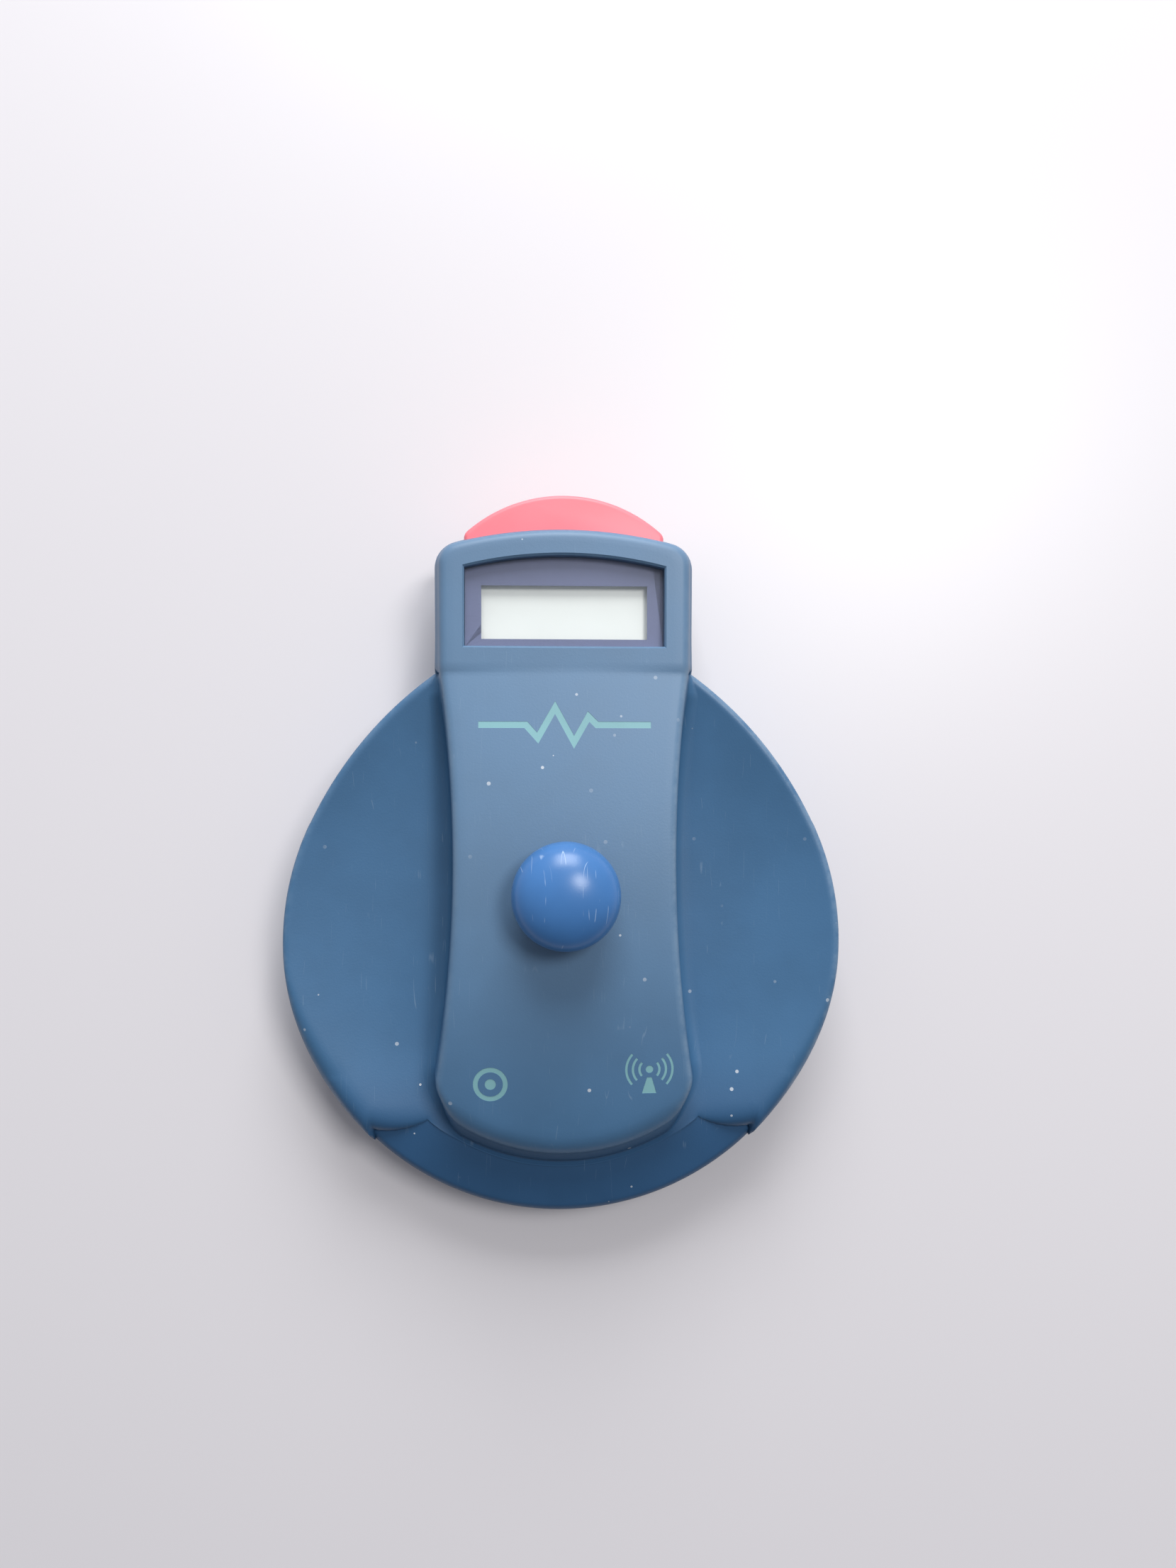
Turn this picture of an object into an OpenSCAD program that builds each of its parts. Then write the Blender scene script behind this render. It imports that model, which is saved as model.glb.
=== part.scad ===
// Cordless clinical sensor pod: a round, low body with two scooped finger wings, a raised waisted
// saddle with a domed button, and a neck that carries a small display and a coloured end cap.
// Millimetres. The origin is the centre of the flat contact face, +Y points along the neck and
// +Z points out through the button.

/* [Body] */
// Diameter of the round body
body_d = 83; // [78:0.5:100]
// How much larger the flank radius is than the body radius
flank_extra_r = 15.9; // [14:0.1:18]
// Angle above the X axis at which the round edge passes into the flank
flank_turn = 25; // [22:1:30]
// Radius of the rounded lower edge
base_edge_r = 7; // [6:0.5:8]
// Height of the body's underside over the contact face
base_face_z = 2; // [1.6:0.1:2.4]
// Thickness of the moulded walls
wall = 2; // [1.6:0.1:2.4]
// Height of the wing rim over the contact face
rim_z = 14.5; // [14.4:0.1:17.4]
// Depth of the shallow scoop in the two wings, at the body's centre
scoop_depth = 3.6; // [3:0.1:3.8]

/* [Saddle] */
// Height of the saddle's highest point over the contact face
saddle_z = 22; // [21:0.1:24]
// Width of the saddle at its waist
waist_w = 32.2; // [30:0.2:36]
// Distance of the waist from the body's centre
waist_y = 12; // [8:0.5:14]
// Radius of the saddle's hollow sides, seen from above
side_r = 185; // [160:5:210]
// Radius of the saddle's lengthwise arch
arch_r = 200; // [180:5:260]
// Radius of the saddle's round end at its foot
end_foot_r = 31.4; // [30:0.1:32]
// Radius of the saddle's round end, carried up to the saddle's highest point
end_top_r = 24; // [22:0.5:27]
// Distance of the centre of that round end below the body's centre
end_y = 2.5; // [2:0.1:3]

/* [Neck] */
// Width of the neck
neck_w = 38.4; // [36:0.2:42]
// Length of the neck beyond the shoulders
neck_l = 21.2; // [20.4:0.1:26]
// Radius of the neck's bowed end
neck_end_r = 65; // [55:1:90]
// Height of the neck's underside over the contact face
neck_floor_z = 5; // [4.5:0.1:6]
// Height of the neck's flat display face over the contact face
neck_top_z = 19.5; // [19:0.1:20.5]
// Thickness of the neck's roof around the display
roof_t = 3.2; // [3:0.1:3.6]

/* [End caps] */
// Height of the coloured end cap's top face
end_cap_top_z = 16.2; // [15.5:0.1:17]
// Height of the coloured end cap's bottom face
end_cap_bottom_z = 7; // [6.5:0.1:8]
// How far the coloured end cap stands out of the neck
end_cap_out = 5; // [4.6:0.1:6.4]
// How far the coloured end cap stands out at its two sides
end_cap_side = 1.1; // [0.6:0.1:1.6]
// Width of the coloured end cap
end_cap_w = 29.4; // [26:0.2:31]
// Height of the lower rim cap's top face
rim_cap_z = 12.3; // [11.8:0.1:13]
// Half width of the lower rim cap
rim_cap_half = 28.4; // [27:0.1:29]
// Gap along the seams of both caps
cap_gap = 0.1; // [0.05:0.01:0.15]

/* [Display] */
// Width of the window
window_w = 29; // [27:0.2:30]
// Distance of the window's straight edge from the shoulders
window_in = 3.6; // [3.2:0.1:4.2]
// Height of the window along its short sides
window_h = 11.4; // [11:0.1:12]
// Radius of the window's arched edge
window_arch_r = 60; // [50:1:80]
// Depth of the window below the display face
window_depth = 1.2; // [1:0.05:1.4]
// Thickness of the window
window_t = 0.8; // [0.6:0.05:0.9]
// Visible width of the display
screen_w = 24.2; // [22:0.1:25]
// Visible height of the display
screen_h = 7.8; // [7:0.1:8.4]

/* [Button] */
// Distance of the button from the body's centre
button_y = 8; // [6:0.5:10]
// Diameter of the button's domed head
button_d = 15.2; // [14:0.1:17]
// Height of the head's underside over the contact face
button_under_z = 25.4; // [25.2:0.1:25.8]
// Height of the head's crown over the contact face
button_top_z = 32; // [31:0.1:33]
// Diameter of the button's stem
stem_d = 5; // [4.5:0.1:5.4]
// How far the button travels when it is pressed
button_travel = 1; // [0.6:0.1:1.2]
// Radial running clearance between the stem and its sleeve
stem_gap = 0.05; // [0.03:0.01:0.08]

/* [Inside] */
// Radius of the contact plate
plate_r = 31; // [29:0.5:32]
// Radius of the opening in the body's underside
opening_r = 26; // [24:0.5:26.5]
// Thickness of the main board
board_t = 1.2; // [1:0.1:1.6]
// Height of the main board's underside over the contact face
board_z = 8; // [7.8:0.1:8.4]
// Length of the battery along the neck's direction
battery_l = 17; // [14:0.5:17.5]
// Width of the battery
battery_w = 24; // [18:0.5:24]
// Thickness of the battery
battery_t = 6; // [4:0.1:6.2]
// Distance of the case screws from the body's centre
case_screw_r = 28.9; // [28.6:0.1:29.2]
// Distance of the board screws from the body's centre
board_screw_r = 29; // [28.6:0.1:29.2]

/* [Hidden] */
$fn = 96;
body_r = body_d / 2;
neck_half = neck_w / 2;
flank_r = body_r + flank_extra_r;
flank_x = flank_extra_r * cos(flank_turn);
flank_y = flank_extra_r * sin(flank_turn);
part_z = base_face_z + base_edge_r;
floor_z = base_face_z + wall;
board_top_z = board_z + board_t;
// where the neck's sides meet the flanks
shoulder_y = sqrt(pow(flank_r, 2) - pow(neck_half + flank_x, 2)) - flank_y;
neck_end = shoulder_y + neck_l;
window_y = shoulder_y + window_in;
// the flanks stand a hair inside the round edge where they meet it, and run a little under it
flank_step = 0.04;
flank_overlap = 2;
// the round limit of the flanks under the neck
nose_r = norm([neck_half, shoulder_y]) + 0.6;
far = 3 * body_r;
sliver = 0.02;
fit_gap = 0.05;
pad_end_x = 26.5;
pad_end_y = 17;
pad_end_r = 11.5;

scoop_r = (pow(body_r, 2) + pow(scoop_depth, 2)) / (2 * scoop_depth);
scoop_z = rim_z - scoop_depth + scoop_r;
arch_y = button_y;
arch_z = saddle_z - arch_r;

window_top_z = neck_top_z - window_depth;
ledge_z = window_top_z - window_t;
roof_under_z = neck_top_z - roof_t;
border_t = 0.2;
screen_y = window_y + 1.2 + screen_h / 2;
glass_margin = 1.4;
glass_top_z = roof_under_z - 0.1;
glass_t = 1.2;
strip_h = 1.7;
strip_w = 1.4;
display_board_t = 1;
display_board_z = glass_top_z - glass_t - strip_h - display_board_t;
frame_t = 1.2;
glass_w = screen_w + 2 * glass_margin;
glass_h = screen_h + 2 * glass_margin;

stem_r = stem_d / 2;
stem_bottom_z = board_top_z + 6;
sleeve_wall = 1.7;
sleeve_r = stem_r + stem_gap + sleeve_wall;
sleeve_bottom_z = stem_bottom_z + 1.2;
sleeve_top_z = saddle_z + 0.5;
flange_t = 1.2;
flange_top_z = saddle_z - wall - 0.2;
clip_t = 0.6;
clip_gap = 0.1;
clip_groove = 0.5;
spring_wire = 0.5;
spring_r = stem_r + 1.0;
spring_turns = 4;
spring_room = 2;
socket_depth = 3.4;
seal_d = 0.9;

switch_w = 6.2;
switch_h = 3.5;
plunger_r = 1.6;
plunger_in = 1.4;
plunger_end_gap = 0.2;

end_cap_mid_z = (end_cap_top_z + end_cap_bottom_z) / 2;
plug_w = end_cap_w - 4;
plug_h = end_cap_top_z - end_cap_bottom_z - 2.4;
aerial_t = 1;
lead_r = 0.6;
lead_x = -9;
lead_foot_y = shoulder_y - 5.8;

contact_r = 1.1;
contact_pitch = 4;
contact_in = wall + 2.1;

screw_r = 1;
screw_head_r = 1.9;
screw_head_t = 1.3;
case_screw_l = 7.6;
board_screw_l = 2.4;
board_head_t = 0.9;
board_room = 0.1;
thread_bite = 0.2;
boss_r = 2.4;
case_boss_z = floor_z + 2.5;
post_r = 1.9;
case_screw_turns = [30, 150, 210, 330];
board_screw_turns = [62, 118, 242, 298];
display_post_x = 14;
display_post_y = shoulder_y - 0.2;
display_screw_r = 0.8;

tray_gap = 0.3;
tray_wall = 1;
tray_floor = 1;
tray_h = 4;

crystal_r = 4.8;
crystal_ring_r = 12.6;
crystal_t = 1.2;
plate_boss_r = opening_r - 0.3;
plate_top_z = floor_z + 0.2;
holder_t = 1.8;
// the two flat chips lie where the wings' undersides have risen clear of them
radio_chip_x = 29;
radio_chip_t = 0.6;

// ---------- outlines seen from above, each moved in by an inset ----------

module wedge_up(turn) {
    polygon([[0, 0], far * [cos(turn), sin(turn)], [far, far], [-far, far], far * [-cos(turn), sin(turn)]]);
}

module flank_circle(side, inset) {
    translate([-side * flank_x, -flank_y]) circle(r = flank_r - flank_step - inset);
}

module flank_outline(inset) {
    intersection() {
        flank_circle(1, inset);
        flank_circle(-1, inset);
        wedge_up(flank_turn - flank_overlap);
    }
}

module body_outline(inset) {
    difference() {
        circle(r = body_r - inset);
        wedge_up(flank_turn);
    }
    flank_outline(inset);
}

module neck_outline(inset) {
    intersection() {
        translate([inset - neck_half, 0]) square([neck_w - 2 * inset, far]);
        translate([0, neck_end - neck_end_r]) circle(r = neck_end_r - inset);
    }
}

module neck_from(start_y, inset) {
    intersection() {
        neck_outline(inset);
        translate([-far, start_y]) square(2 * far);
    }
}

module rim_cap_zone(grow) {
    difference() {
        translate([-rim_cap_half - grow, -far]) square([2 * (rim_cap_half + grow), far - pad_end_y - 3]);
        translate([0, -end_y]) circle(r = end_foot_r + cap_gap - grow);
        for (side = [-1, 1])
            translate([side * pad_end_x, -pad_end_y]) circle(r = pad_end_r + cap_gap - grow);
    }
}

module housing_outline(inset) {
    difference() {
        body_outline(inset);
        rim_cap_zone(cap_gap + inset);
    }
}

module saddle_outline(inset, end_inset) {
    difference() {
        union() {
            translate([0, -end_y]) circle(r = end_foot_r - end_inset);
            translate([inset - neck_half, -end_y]) square([neck_w - 2 * inset, shoulder_y + end_y]);
        }
        for (side = [-1, 1])
            translate([side * (waist_w / 2 + side_r), waist_y]) circle(r = side_r + inset);
        translate([-far, shoulder_y]) square([2 * far, far]);
    }
}

module window_outline(inset) {
    intersection() {
        translate([inset - window_w / 2, window_y + inset]) square([window_w - 2 * inset, far]);
        translate([0, window_y + window_h + arch_rise() - window_arch_r])
            circle(r = window_arch_r - inset);
    }
}

function arch_rise() = window_arch_r - sqrt(pow(window_arch_r, 2) - pow(window_w / 2, 2));

// ---------- shared solids ----------

module edge_profile(r, inset) {
    low = base_face_z + inset;
    translate([0, low]) square([r - base_edge_r, part_z - low]);
    intersection() {
        translate([r - base_edge_r, part_z]) circle(r = base_edge_r - inset);
        translate([r - base_edge_r, low]) square([base_edge_r, part_z - low]);
    }
}

module lower_body(inset) {
    rotate([0, 0, 180 - flank_turn]) rotate_extrude(angle = 180 + 2 * flank_turn)
        edge_profile(body_r, inset);
    intersection() {
        for_flank(1, inset);
        for_flank(-1, inset);
        rotate_extrude() edge_profile(nose_r, inset);
        linear_extrude(height = part_z) wedge_up(flank_turn - flank_overlap);
    }
}

module for_flank(side, inset) {
    translate([-side * flank_x, -flank_y]) rotate_extrude() edge_profile(flank_r - flank_step, inset);
}

module slab(low, high) {
    translate([0, 0, low]) linear_extrude(height = high - low) children();
}

module scoop(inset) {
    translate([0, 0, scoop_z]) sphere(r = scoop_r + inset);
}

module arch(inset) {
    translate([0, arch_y, arch_z]) rotate([0, 90, 0])
        cylinder(h = 2 * far, r = arch_r - inset, center = true, $fn = 360);
}

module saddle_body(inset) {
    intersection() {
        slab(part_z, saddle_z + 1) saddle_outline(inset, inset);
        arch(inset);
        union() {
            translate([0, -end_y, rim_cap_z])
                cylinder(h = saddle_z - rim_cap_z, r1 = end_foot_r - inset, r2 = end_top_r - inset);
            translate([-far, -end_y, part_z]) cube([2 * far, far, saddle_z]);
            translate([-far, -far, part_z]) cube([2 * far, 2 * far, rim_cap_z - part_z]);
        }
    }
}

module wing_body(inset) {
    difference() {
        slab(part_z, rim_z + 1.5 - inset) housing_outline(inset);
        scoop(inset);
    }
}

module around(turns, r) {
    for (turn = turns)
        rotate([0, 0, turn]) translate([r, 0, 0]) children();
}

module at_button(z) {
    translate([0, button_y, z]) children();
}

module display_posts() {
    for (side = [-1, 1])
        translate([side * display_post_x, display_post_y, 0]) children();
}

// ---------- moulded covers ----------

module top_cover() {
    color("steelblue") difference() {
        union() {
            difference() {
                union() {
                    wing_body(0);
                    saddle_body(0);
                    slab(part_z, neck_top_z) neck_from(shoulder_y - 4, 0);
                }
                difference() {
                    union() {
                        wing_body(wall);
                        saddle_body(wall);
                        slab(part_z, roof_under_z) neck_from(shoulder_y - 6, wall);
                        slab(part_z, board_top_z + board_room) board_outline();
                        around(board_screw_turns, board_screw_r) translate([0, 0, part_z])
                            cylinder(h = board_top_z + board_head_t + board_room - part_z, r = screw_head_r);
                    }
                    around(case_screw_turns, case_screw_r)
                        translate([0, 0, part_z - 1]) cylinder(h = rim_z, r = boss_r);
                    display_posts() translate([0, 0, display_board_z + display_board_t])
                        cylinder(h = neck_top_z, r = post_r);
                }
            }
            around(case_screw_turns, case_screw_r)
                translate([0, 0, case_boss_z]) cylinder(h = part_z - case_boss_z + 0.5, r = boss_r);
        }
        around(case_screw_turns, case_screw_r)
            translate([0, 0, floor_z]) cylinder(h = case_screw_l - wall + 0.6, r = screw_r);
        display_posts() translate([0, 0, display_board_z]) cylinder(h = 4, r = display_screw_r);
        slab(window_top_z - window_t - border_t, neck_top_z + 1) window_outline(0);
        slab(roof_under_z - 1, neck_top_z) translate([0, screen_y]) square([screen_w + 2, screen_h + 2], center = true);
        at_button(part_z) cylinder(h = saddle_z, r = sleeve_r + fit_gap);
        end_cap_opening();
        seal_band(fit_gap);
        marks(0.3 + sliver);
    }
}

module end_cap_opening() {
    translate([0, neck_end, end_cap_mid_z]) cube([plug_w + 2 * fit_gap, 16, plug_h + 2 * fit_gap], center = true);
}

module base_cover() {
    color("steelblue") difference() {
        union() {
            intersection() {
                lower_body(0);
                slab(base_face_z, part_z) housing_outline(0);
            }
            intersection() {
                lower_body(0);
                slab(base_face_z, floor_z) circle(r = far);
            }
            slab(neck_floor_z, part_z) neck_from(shoulder_y - 8, 0);
            around(board_screw_turns, board_screw_r)
                translate([0, 0, floor_z - 1]) cylinder(h = board_z - floor_z + 1, r = boss_r);
        }
        difference() {
            union() {
                intersection() {
                    lower_body(wall);
                    slab(floor_z, part_z) housing_outline(wall);
                }
                slab(neck_floor_z + wall, part_z) neck_from(shoulder_y - 8, wall);
            }
            around(board_screw_turns, board_screw_r)
                translate([0, 0, floor_z - 1]) cylinder(h = board_z - floor_z + 1, r = boss_r);
            around(case_screw_turns, case_screw_r)
                translate([0, 0, floor_z - 1]) cylinder(h = case_boss_z - floor_z + 0.9, r = boss_r);
        }
        translate([0, 0, base_face_z - 1]) cylinder(h = wall + 2, r = opening_r);
        around(case_screw_turns, case_screw_r) {
            translate([0, 0, base_face_z]) cylinder(h = screw_head_t + fit_gap, r = screw_head_r + fit_gap);
            translate([0, 0, base_face_z]) cylinder(h = 6, r = screw_r + fit_gap);
        }
        around(board_screw_turns, board_screw_r)
            translate([0, 0, board_z - 3]) cylinder(h = 4, r = screw_r - thread_bite);
        end_cap_opening();
        seal_band(fit_gap);
    }
}

module seal_band(gap) {
    slab(part_z - 0.4 - gap, part_z + 0.4 + gap) difference() {
        union() {
            housing_outline(0.6 - gap);
            neck_from(shoulder_y - 8, 0.6 - gap);
        }
        housing_outline(1.4 + gap);
        neck_from(shoulder_y - 8, 1.4 + gap);
    }
}

module case_seal() {
    color("dimgray") difference() {
        seal_band(0);
        end_cap_opening();
    }
}

module case_screws() {
    color("silver") around(case_screw_turns, case_screw_r) translate([0, 0, base_face_z]) difference() {
        union() {
            cylinder(h = screw_head_t, r = screw_head_r);
            cylinder(h = case_screw_l, r = screw_r);
        }
        translate([0, 0, -1]) cylinder(h = 1.7, r = 0.8, $fn = 6);
    }
}

// ---------- lower rim cap and its charging contacts ----------

module rim_cap() {
    color("midnightblue") difference() {
        intersection() {
            union() {
                rotate_extrude() edge_profile(body_r, 0);
                slab(part_z, rim_cap_z) circle(r = body_r);
            }
            slab(floor_z + cap_gap, rim_cap_z) rim_cap_zone(0);
        }
        intersection() {
            union() {
                rotate_extrude() edge_profile(body_r, wall);
                slab(part_z, rim_cap_z - wall) circle(r = body_r - wall);
            }
            slab(floor_z, rim_cap_z - wall) rim_cap_zone(-wall);
        }
        charge_places() translate([0, 0, body_r - contact_in]) cylinder(h = 6, r = contact_r + fit_gap);
    }
}

module charge_places() {
    for (place = [-1.5, -0.5, 0.5, 1.5])
        translate([contact_pitch * place, 0, part_z - 1]) rotate([90, 0, 0]) children();
}

module charge_contacts() {
    color("gold") charge_places() translate([0, 0, body_r - contact_in]) cylinder(h = contact_in - 0.7, r = contact_r);
}

module contact_board() {
    color("darkgreen") translate([-9, -body_r + contact_in, part_z - 2.8]) cube([18, 1, 3.8]);
}

// ---------- coloured end cap and aerial ----------

module end_cap_outline(inset) {
    half = end_cap_w / 2;
    foot = neck_end_r - sqrt(pow(neck_end_r, 2) - pow(half, 2));
    rise = end_cap_out + foot - end_cap_side;
    r = (pow(half, 2) + pow(rise, 2)) / (2 * rise);
    intersection() {
        translate([0, neck_end + end_cap_out - r]) circle(r = r - inset);
        translate([inset - half, neck_end - foot - 1]) square([end_cap_w - 2 * inset, 20]);
    }
}

module end_cap() {
    color("lightcoral") difference() {
        union() {
            difference() {
                slab(end_cap_bottom_z, end_cap_top_z) end_cap_outline(0);
                slab(0, far) neck_outline(-fit_gap);
            }
            intersection() {
                translate([0, neck_end - 1, end_cap_mid_z]) cube([plug_w, 6, plug_h], center = true);
                slab(0, far) translate([0, neck_end - neck_end_r]) circle(r = neck_end_r + 0.5);
            }
        }
        translate([0, neck_end - 3, end_cap_mid_z]) cube([plug_w - 5, 8, plug_h - 2.4], center = true);
    }
}

module aerial() {
    color("darkgreen") translate([0, neck_end - 2.5, end_cap_mid_z]) cube([plug_w - 7, 6, aerial_t], center = true);
}

module aerial_lead() {
    lead_z = end_cap_mid_z - aerial_t / 2 - lead_r;
    color("black") translate([lead_x, 0, 0]) {
        translate([0, neck_end - 5.4, lead_z]) rotate([90, 0, 0])
            cylinder(h = neck_end - 5.4 - lead_foot_y, r = lead_r, $fn = 24);
        translate([0, lead_foot_y, board_top_z])
            cylinder(h = lead_z + lead_r - board_top_z, r = lead_r, $fn = 24);
    }
}

// ---------- contact plate and crystals ----------

module sound_plate() {
    color("gainsboro") difference() {
        union() {
            cylinder(h = base_face_z, r = plate_r);
            cylinder(h = plate_top_z, r = plate_boss_r);
        }
        translate([0, 0, base_face_z - 0.7]) difference() {
            cylinder(h = 1, r = opening_r + 1.5);
            cylinder(h = 1, r = opening_r + 0.4);
        }
    }
}

module plate_seal() {
    color("dimgray") translate([0, 0, base_face_z - 0.7]) difference() {
        cylinder(h = 0.7, r = opening_r + 1.45);
        translate([0, 0, -1]) cylinder(h = 3, r = opening_r + 0.45);
    }
}

module crystal_places() {
    children();
    around([for (step = [0 : 5]) step * 60], crystal_ring_r) children();
}

module crystal_discs() {
    color("khaki") translate([0, 0, plate_top_z]) crystal_places() cylinder(h = crystal_t, r = crystal_r);
}

module crystal_holder() {
    color("white") translate([0, 0, plate_top_z]) difference() {
        cylinder(h = holder_t, r = opening_r - 3);
        translate([0, 0, -1]) crystal_places() cylinder(h = holder_t + 2, r = crystal_r + fit_gap);
    }
}

module crystal_leads() {
    color("firebrick") translate([0, 0, plate_top_z + crystal_t]) crystal_places()
        translate([2, 0, 0]) cylinder(h = board_z - plate_top_z - crystal_t, r = 0.4, $fn = 24);
}

// ---------- electronics ----------

module board_outline() {
    difference() {
        intersection() {
            circle(r = body_r - 5.2);
            translate([-far, -far]) square([2 * far, far + shoulder_y - 4]);
        }
        rim_cap_zone(cap_gap + wall + 0.8);
    }
}

module main_board() {
    color("darkgreen") difference() {
        slab(board_z, board_top_z) board_outline();
        around(case_screw_turns, case_screw_r)
            translate([0, 0, board_z - 1]) cylinder(h = 4, r = boss_r + 0.5);
        around(board_screw_turns, board_screw_r)
            translate([0, 0, board_z - 1]) cylinder(h = 4, r = screw_r + fit_gap);
    }
}

module board_screws() {
    color("silver") around(board_screw_turns, board_screw_r) {
        translate([0, 0, board_z - board_screw_l]) cylinder(h = board_screw_l + board_t, r = screw_r - thread_bite);
        translate([0, 0, board_top_z]) difference() {
            cylinder(h = board_head_t, r = screw_head_r - 0.1);
            translate([0, 0, 0.4]) cylinder(h = 1, r = 0.8, $fn = 6);
        }
    }
}

module chips() {
    color("black") for (side = [-1, 1]) {
        translate([side * 9.4 - 2.5, 7, board_top_z]) cube([5, 5, 1]);
        translate([side * radio_chip_x - 3, -3.5, board_top_z]) cube([6, 7, radio_chip_t]);
        translate([side * 8 - 2, -27, board_top_z]) cube([4, 3, 0.8]);
    }
}

module shield_can() {
    color("silver") difference() {
        translate([-8, 19, board_top_z]) cube([18, 13, 2.4]);
        translate([-7.7, 19.3, board_top_z - 1]) cube([17.4, 12.4, 3.1]);
    }
}

module battery_place(grow, height) {
    translate([-battery_w / 2 - grow, -2 - battery_l - grow, 0]) cube([battery_w + 2 * grow, battery_l + 2 * grow, height]);
}

module battery() {
    color("slategray") translate([0, 0, board_top_z + tray_floor]) battery_place(0, battery_t);
}

module battery_tray() {
    color("white") difference() {
        translate([0, 0, board_top_z]) battery_place(tray_gap + tray_wall, tray_h);
        translate([0, 0, board_top_z + tray_floor]) battery_place(tray_gap, tray_h);
    }
}

module battery_pad() {
    color("dimgray") translate([0, 0, board_top_z + tray_floor + battery_t])
        translate([-battery_w / 2 + 3, -battery_l + 1, 0]) cube([battery_w - 6, battery_l - 6, 1]);
}

module battery_plug() {
    color("ivory") translate([5, 1.2, board_top_z]) cube([5, 3, 2.4]);
}

module battery_leads() {
    color("red") for (step = [0, 1]) translate([6.5 + 2 * step, 0, board_top_z + 5.4]) {
        translate([0, 1.9, 0]) rotate([90, 0, 0]) cylinder(h = 3.9, r = 0.45, $fn = 24);
        translate([0, 1.9, -3]) cylinder(h = 3, r = 0.45, $fn = 24);
    }
}

// ---------- display ----------

module window() {
    color("lightsteelblue", 0.6) slab(ledge_z, window_top_z) window_outline(fit_gap);
}

module window_border() {
    color("slategray") difference() {
        slab(ledge_z - border_t, ledge_z) window_outline(fit_gap);
        slab(0, far) translate([0, screen_y]) square([screen_w, screen_h], center = true);
    }
}

module display_glass() {
    color("honeydew") translate([0, screen_y, glass_top_z - glass_t / 2]) cube([glass_w, glass_h, glass_t], center = true);
}

module display_frame() {
    color("black") difference() {
        slab(display_board_z + display_board_t, glass_top_z) translate([0, screen_y])
            square([glass_w + 2 * frame_t, glass_h + 2 * frame_t], center = true);
        slab(0, far) translate([0, screen_y]) square([glass_w + 2 * fit_gap, glass_h + 2 * fit_gap], center = true);
    }
}

module contact_strips() {
    color("deeppink") for (side = [-1, 1])
        translate([0, screen_y + side * (glass_h / 2 - strip_w / 2), glass_top_z - glass_t - strip_h / 2])
            cube([glass_w - 3, strip_w, strip_h], center = true);
}

module display_board() {
    color("darkgreen") difference() {
        slab(display_board_z, display_board_z + display_board_t)
            translate([-neck_half + wall + 1, shoulder_y - 1.4])
                square([neck_w - 2 * wall - 2, screen_y - shoulder_y + glass_h / 2 + frame_t + 1.4]);
        display_posts() cylinder(h = far, r = display_screw_r + fit_gap);
    }
}

module display_screws() {
    color("silver") display_posts() {
        translate([0, 0, display_board_z]) cylinder(h = 3.2, r = display_screw_r);
        translate([0, 0, display_board_z - 0.9]) cylinder(h = 0.9, r = 1.5);
    }
}

module ribbon_cable() {
    low = board_top_z;
    high = display_board_z;
    start = shoulder_y - 4.8;
    t = 0.3;
    color("peru") translate([5, 0, 0]) rotate([90, 0, -90]) linear_extrude(height = 10)
        polygon([[-start + 3, low], [-start, low], [-shoulder_y - 4, high - t], [-shoulder_y - 8, high - t],
            [-shoulder_y - 8, high], [-shoulder_y - 4 + 0.1, high], [-start + 0.1, low + t], [-start + 3, low + t]]);
}

// ---------- button ----------

module button_head() {
    rise = button_top_z - button_under_z - 1.4;
    half = button_d / 2;
    dome_r = (pow(half, 2) + pow(rise, 2)) / (2 * rise);
    color("royalblue") at_button(0) difference() {
        rotate_extrude() union() {
            intersection() {
                translate([0, button_top_z - dome_r]) circle(r = dome_r);
                translate([0, button_under_z + 1.4]) square([half, rise]);
            }
            translate([0, button_under_z]) square([half - 0.7, 1.4]);
            intersection() {
                translate([half - 0.7, button_under_z + 0.7]) circle(r = 0.7);
                translate([half - 0.7, button_under_z]) square([0.7, 1.4]);
            }
            translate([half - 0.7, button_under_z + 0.7]) square([0.7, 0.7]);
        }
        translate([0, 0, button_under_z - 1]) cylinder(h = socket_depth + 1, r = stem_r);
        translate([0, 0, button_under_z - 1]) cylinder(h = spring_room + 1, r = spring_r + spring_wire);
    }
}

module button_stem() {
    color("silver") at_button(stem_bottom_z) difference() {
        cylinder(h = button_under_z + socket_depth - stem_bottom_z, r = stem_r);
        translate([0, 0, sleeve_bottom_z - stem_bottom_z - clip_t - clip_gap]) difference() {
            cylinder(h = clip_t, r = stem_r + 1);
            translate([0, 0, -1]) cylinder(h = clip_t + 2, r = stem_r - clip_groove);
        }
    }
}

module button_clip() {
    color("silver") at_button(sleeve_bottom_z - clip_t - clip_gap) difference() {
        cylinder(h = clip_t, r = stem_r + 1);
        translate([0, 0, -1]) cylinder(h = clip_t + 2, r = stem_r - clip_groove);
        translate([-1.2, 0, -1]) cube([2.4, 8, clip_t + 2]);
    }
}

module guide_sleeve() {
    color("gray") at_button(0) difference() {
        union() {
            translate([0, 0, sleeve_bottom_z]) cylinder(h = sleeve_top_z - sleeve_bottom_z, r = sleeve_r);
            translate([0, 0, flange_top_z - flange_t]) cylinder(h = flange_t, r = sleeve_r + 1.8);
        }
        translate([0, 0, sleeve_bottom_z - 1]) cylinder(h = far, r = stem_r + stem_gap);
        translate([0, 0, sleeve_top_z - seal_d - 0.4]) cylinder(h = seal_d, r = stem_r + seal_d);
    }
}

module button_seal() {
    color("black") at_button(sleeve_top_z - 0.4 - seal_d / 2) rotate_extrude()
        translate([stem_r + fit_gap + seal_d / 2 - 0.06, 0]) circle(r = seal_d / 2 - 0.06, $fn = 32);
}

function spring_rise() = button_under_z + spring_room - sleeve_top_z - spring_wire;

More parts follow.
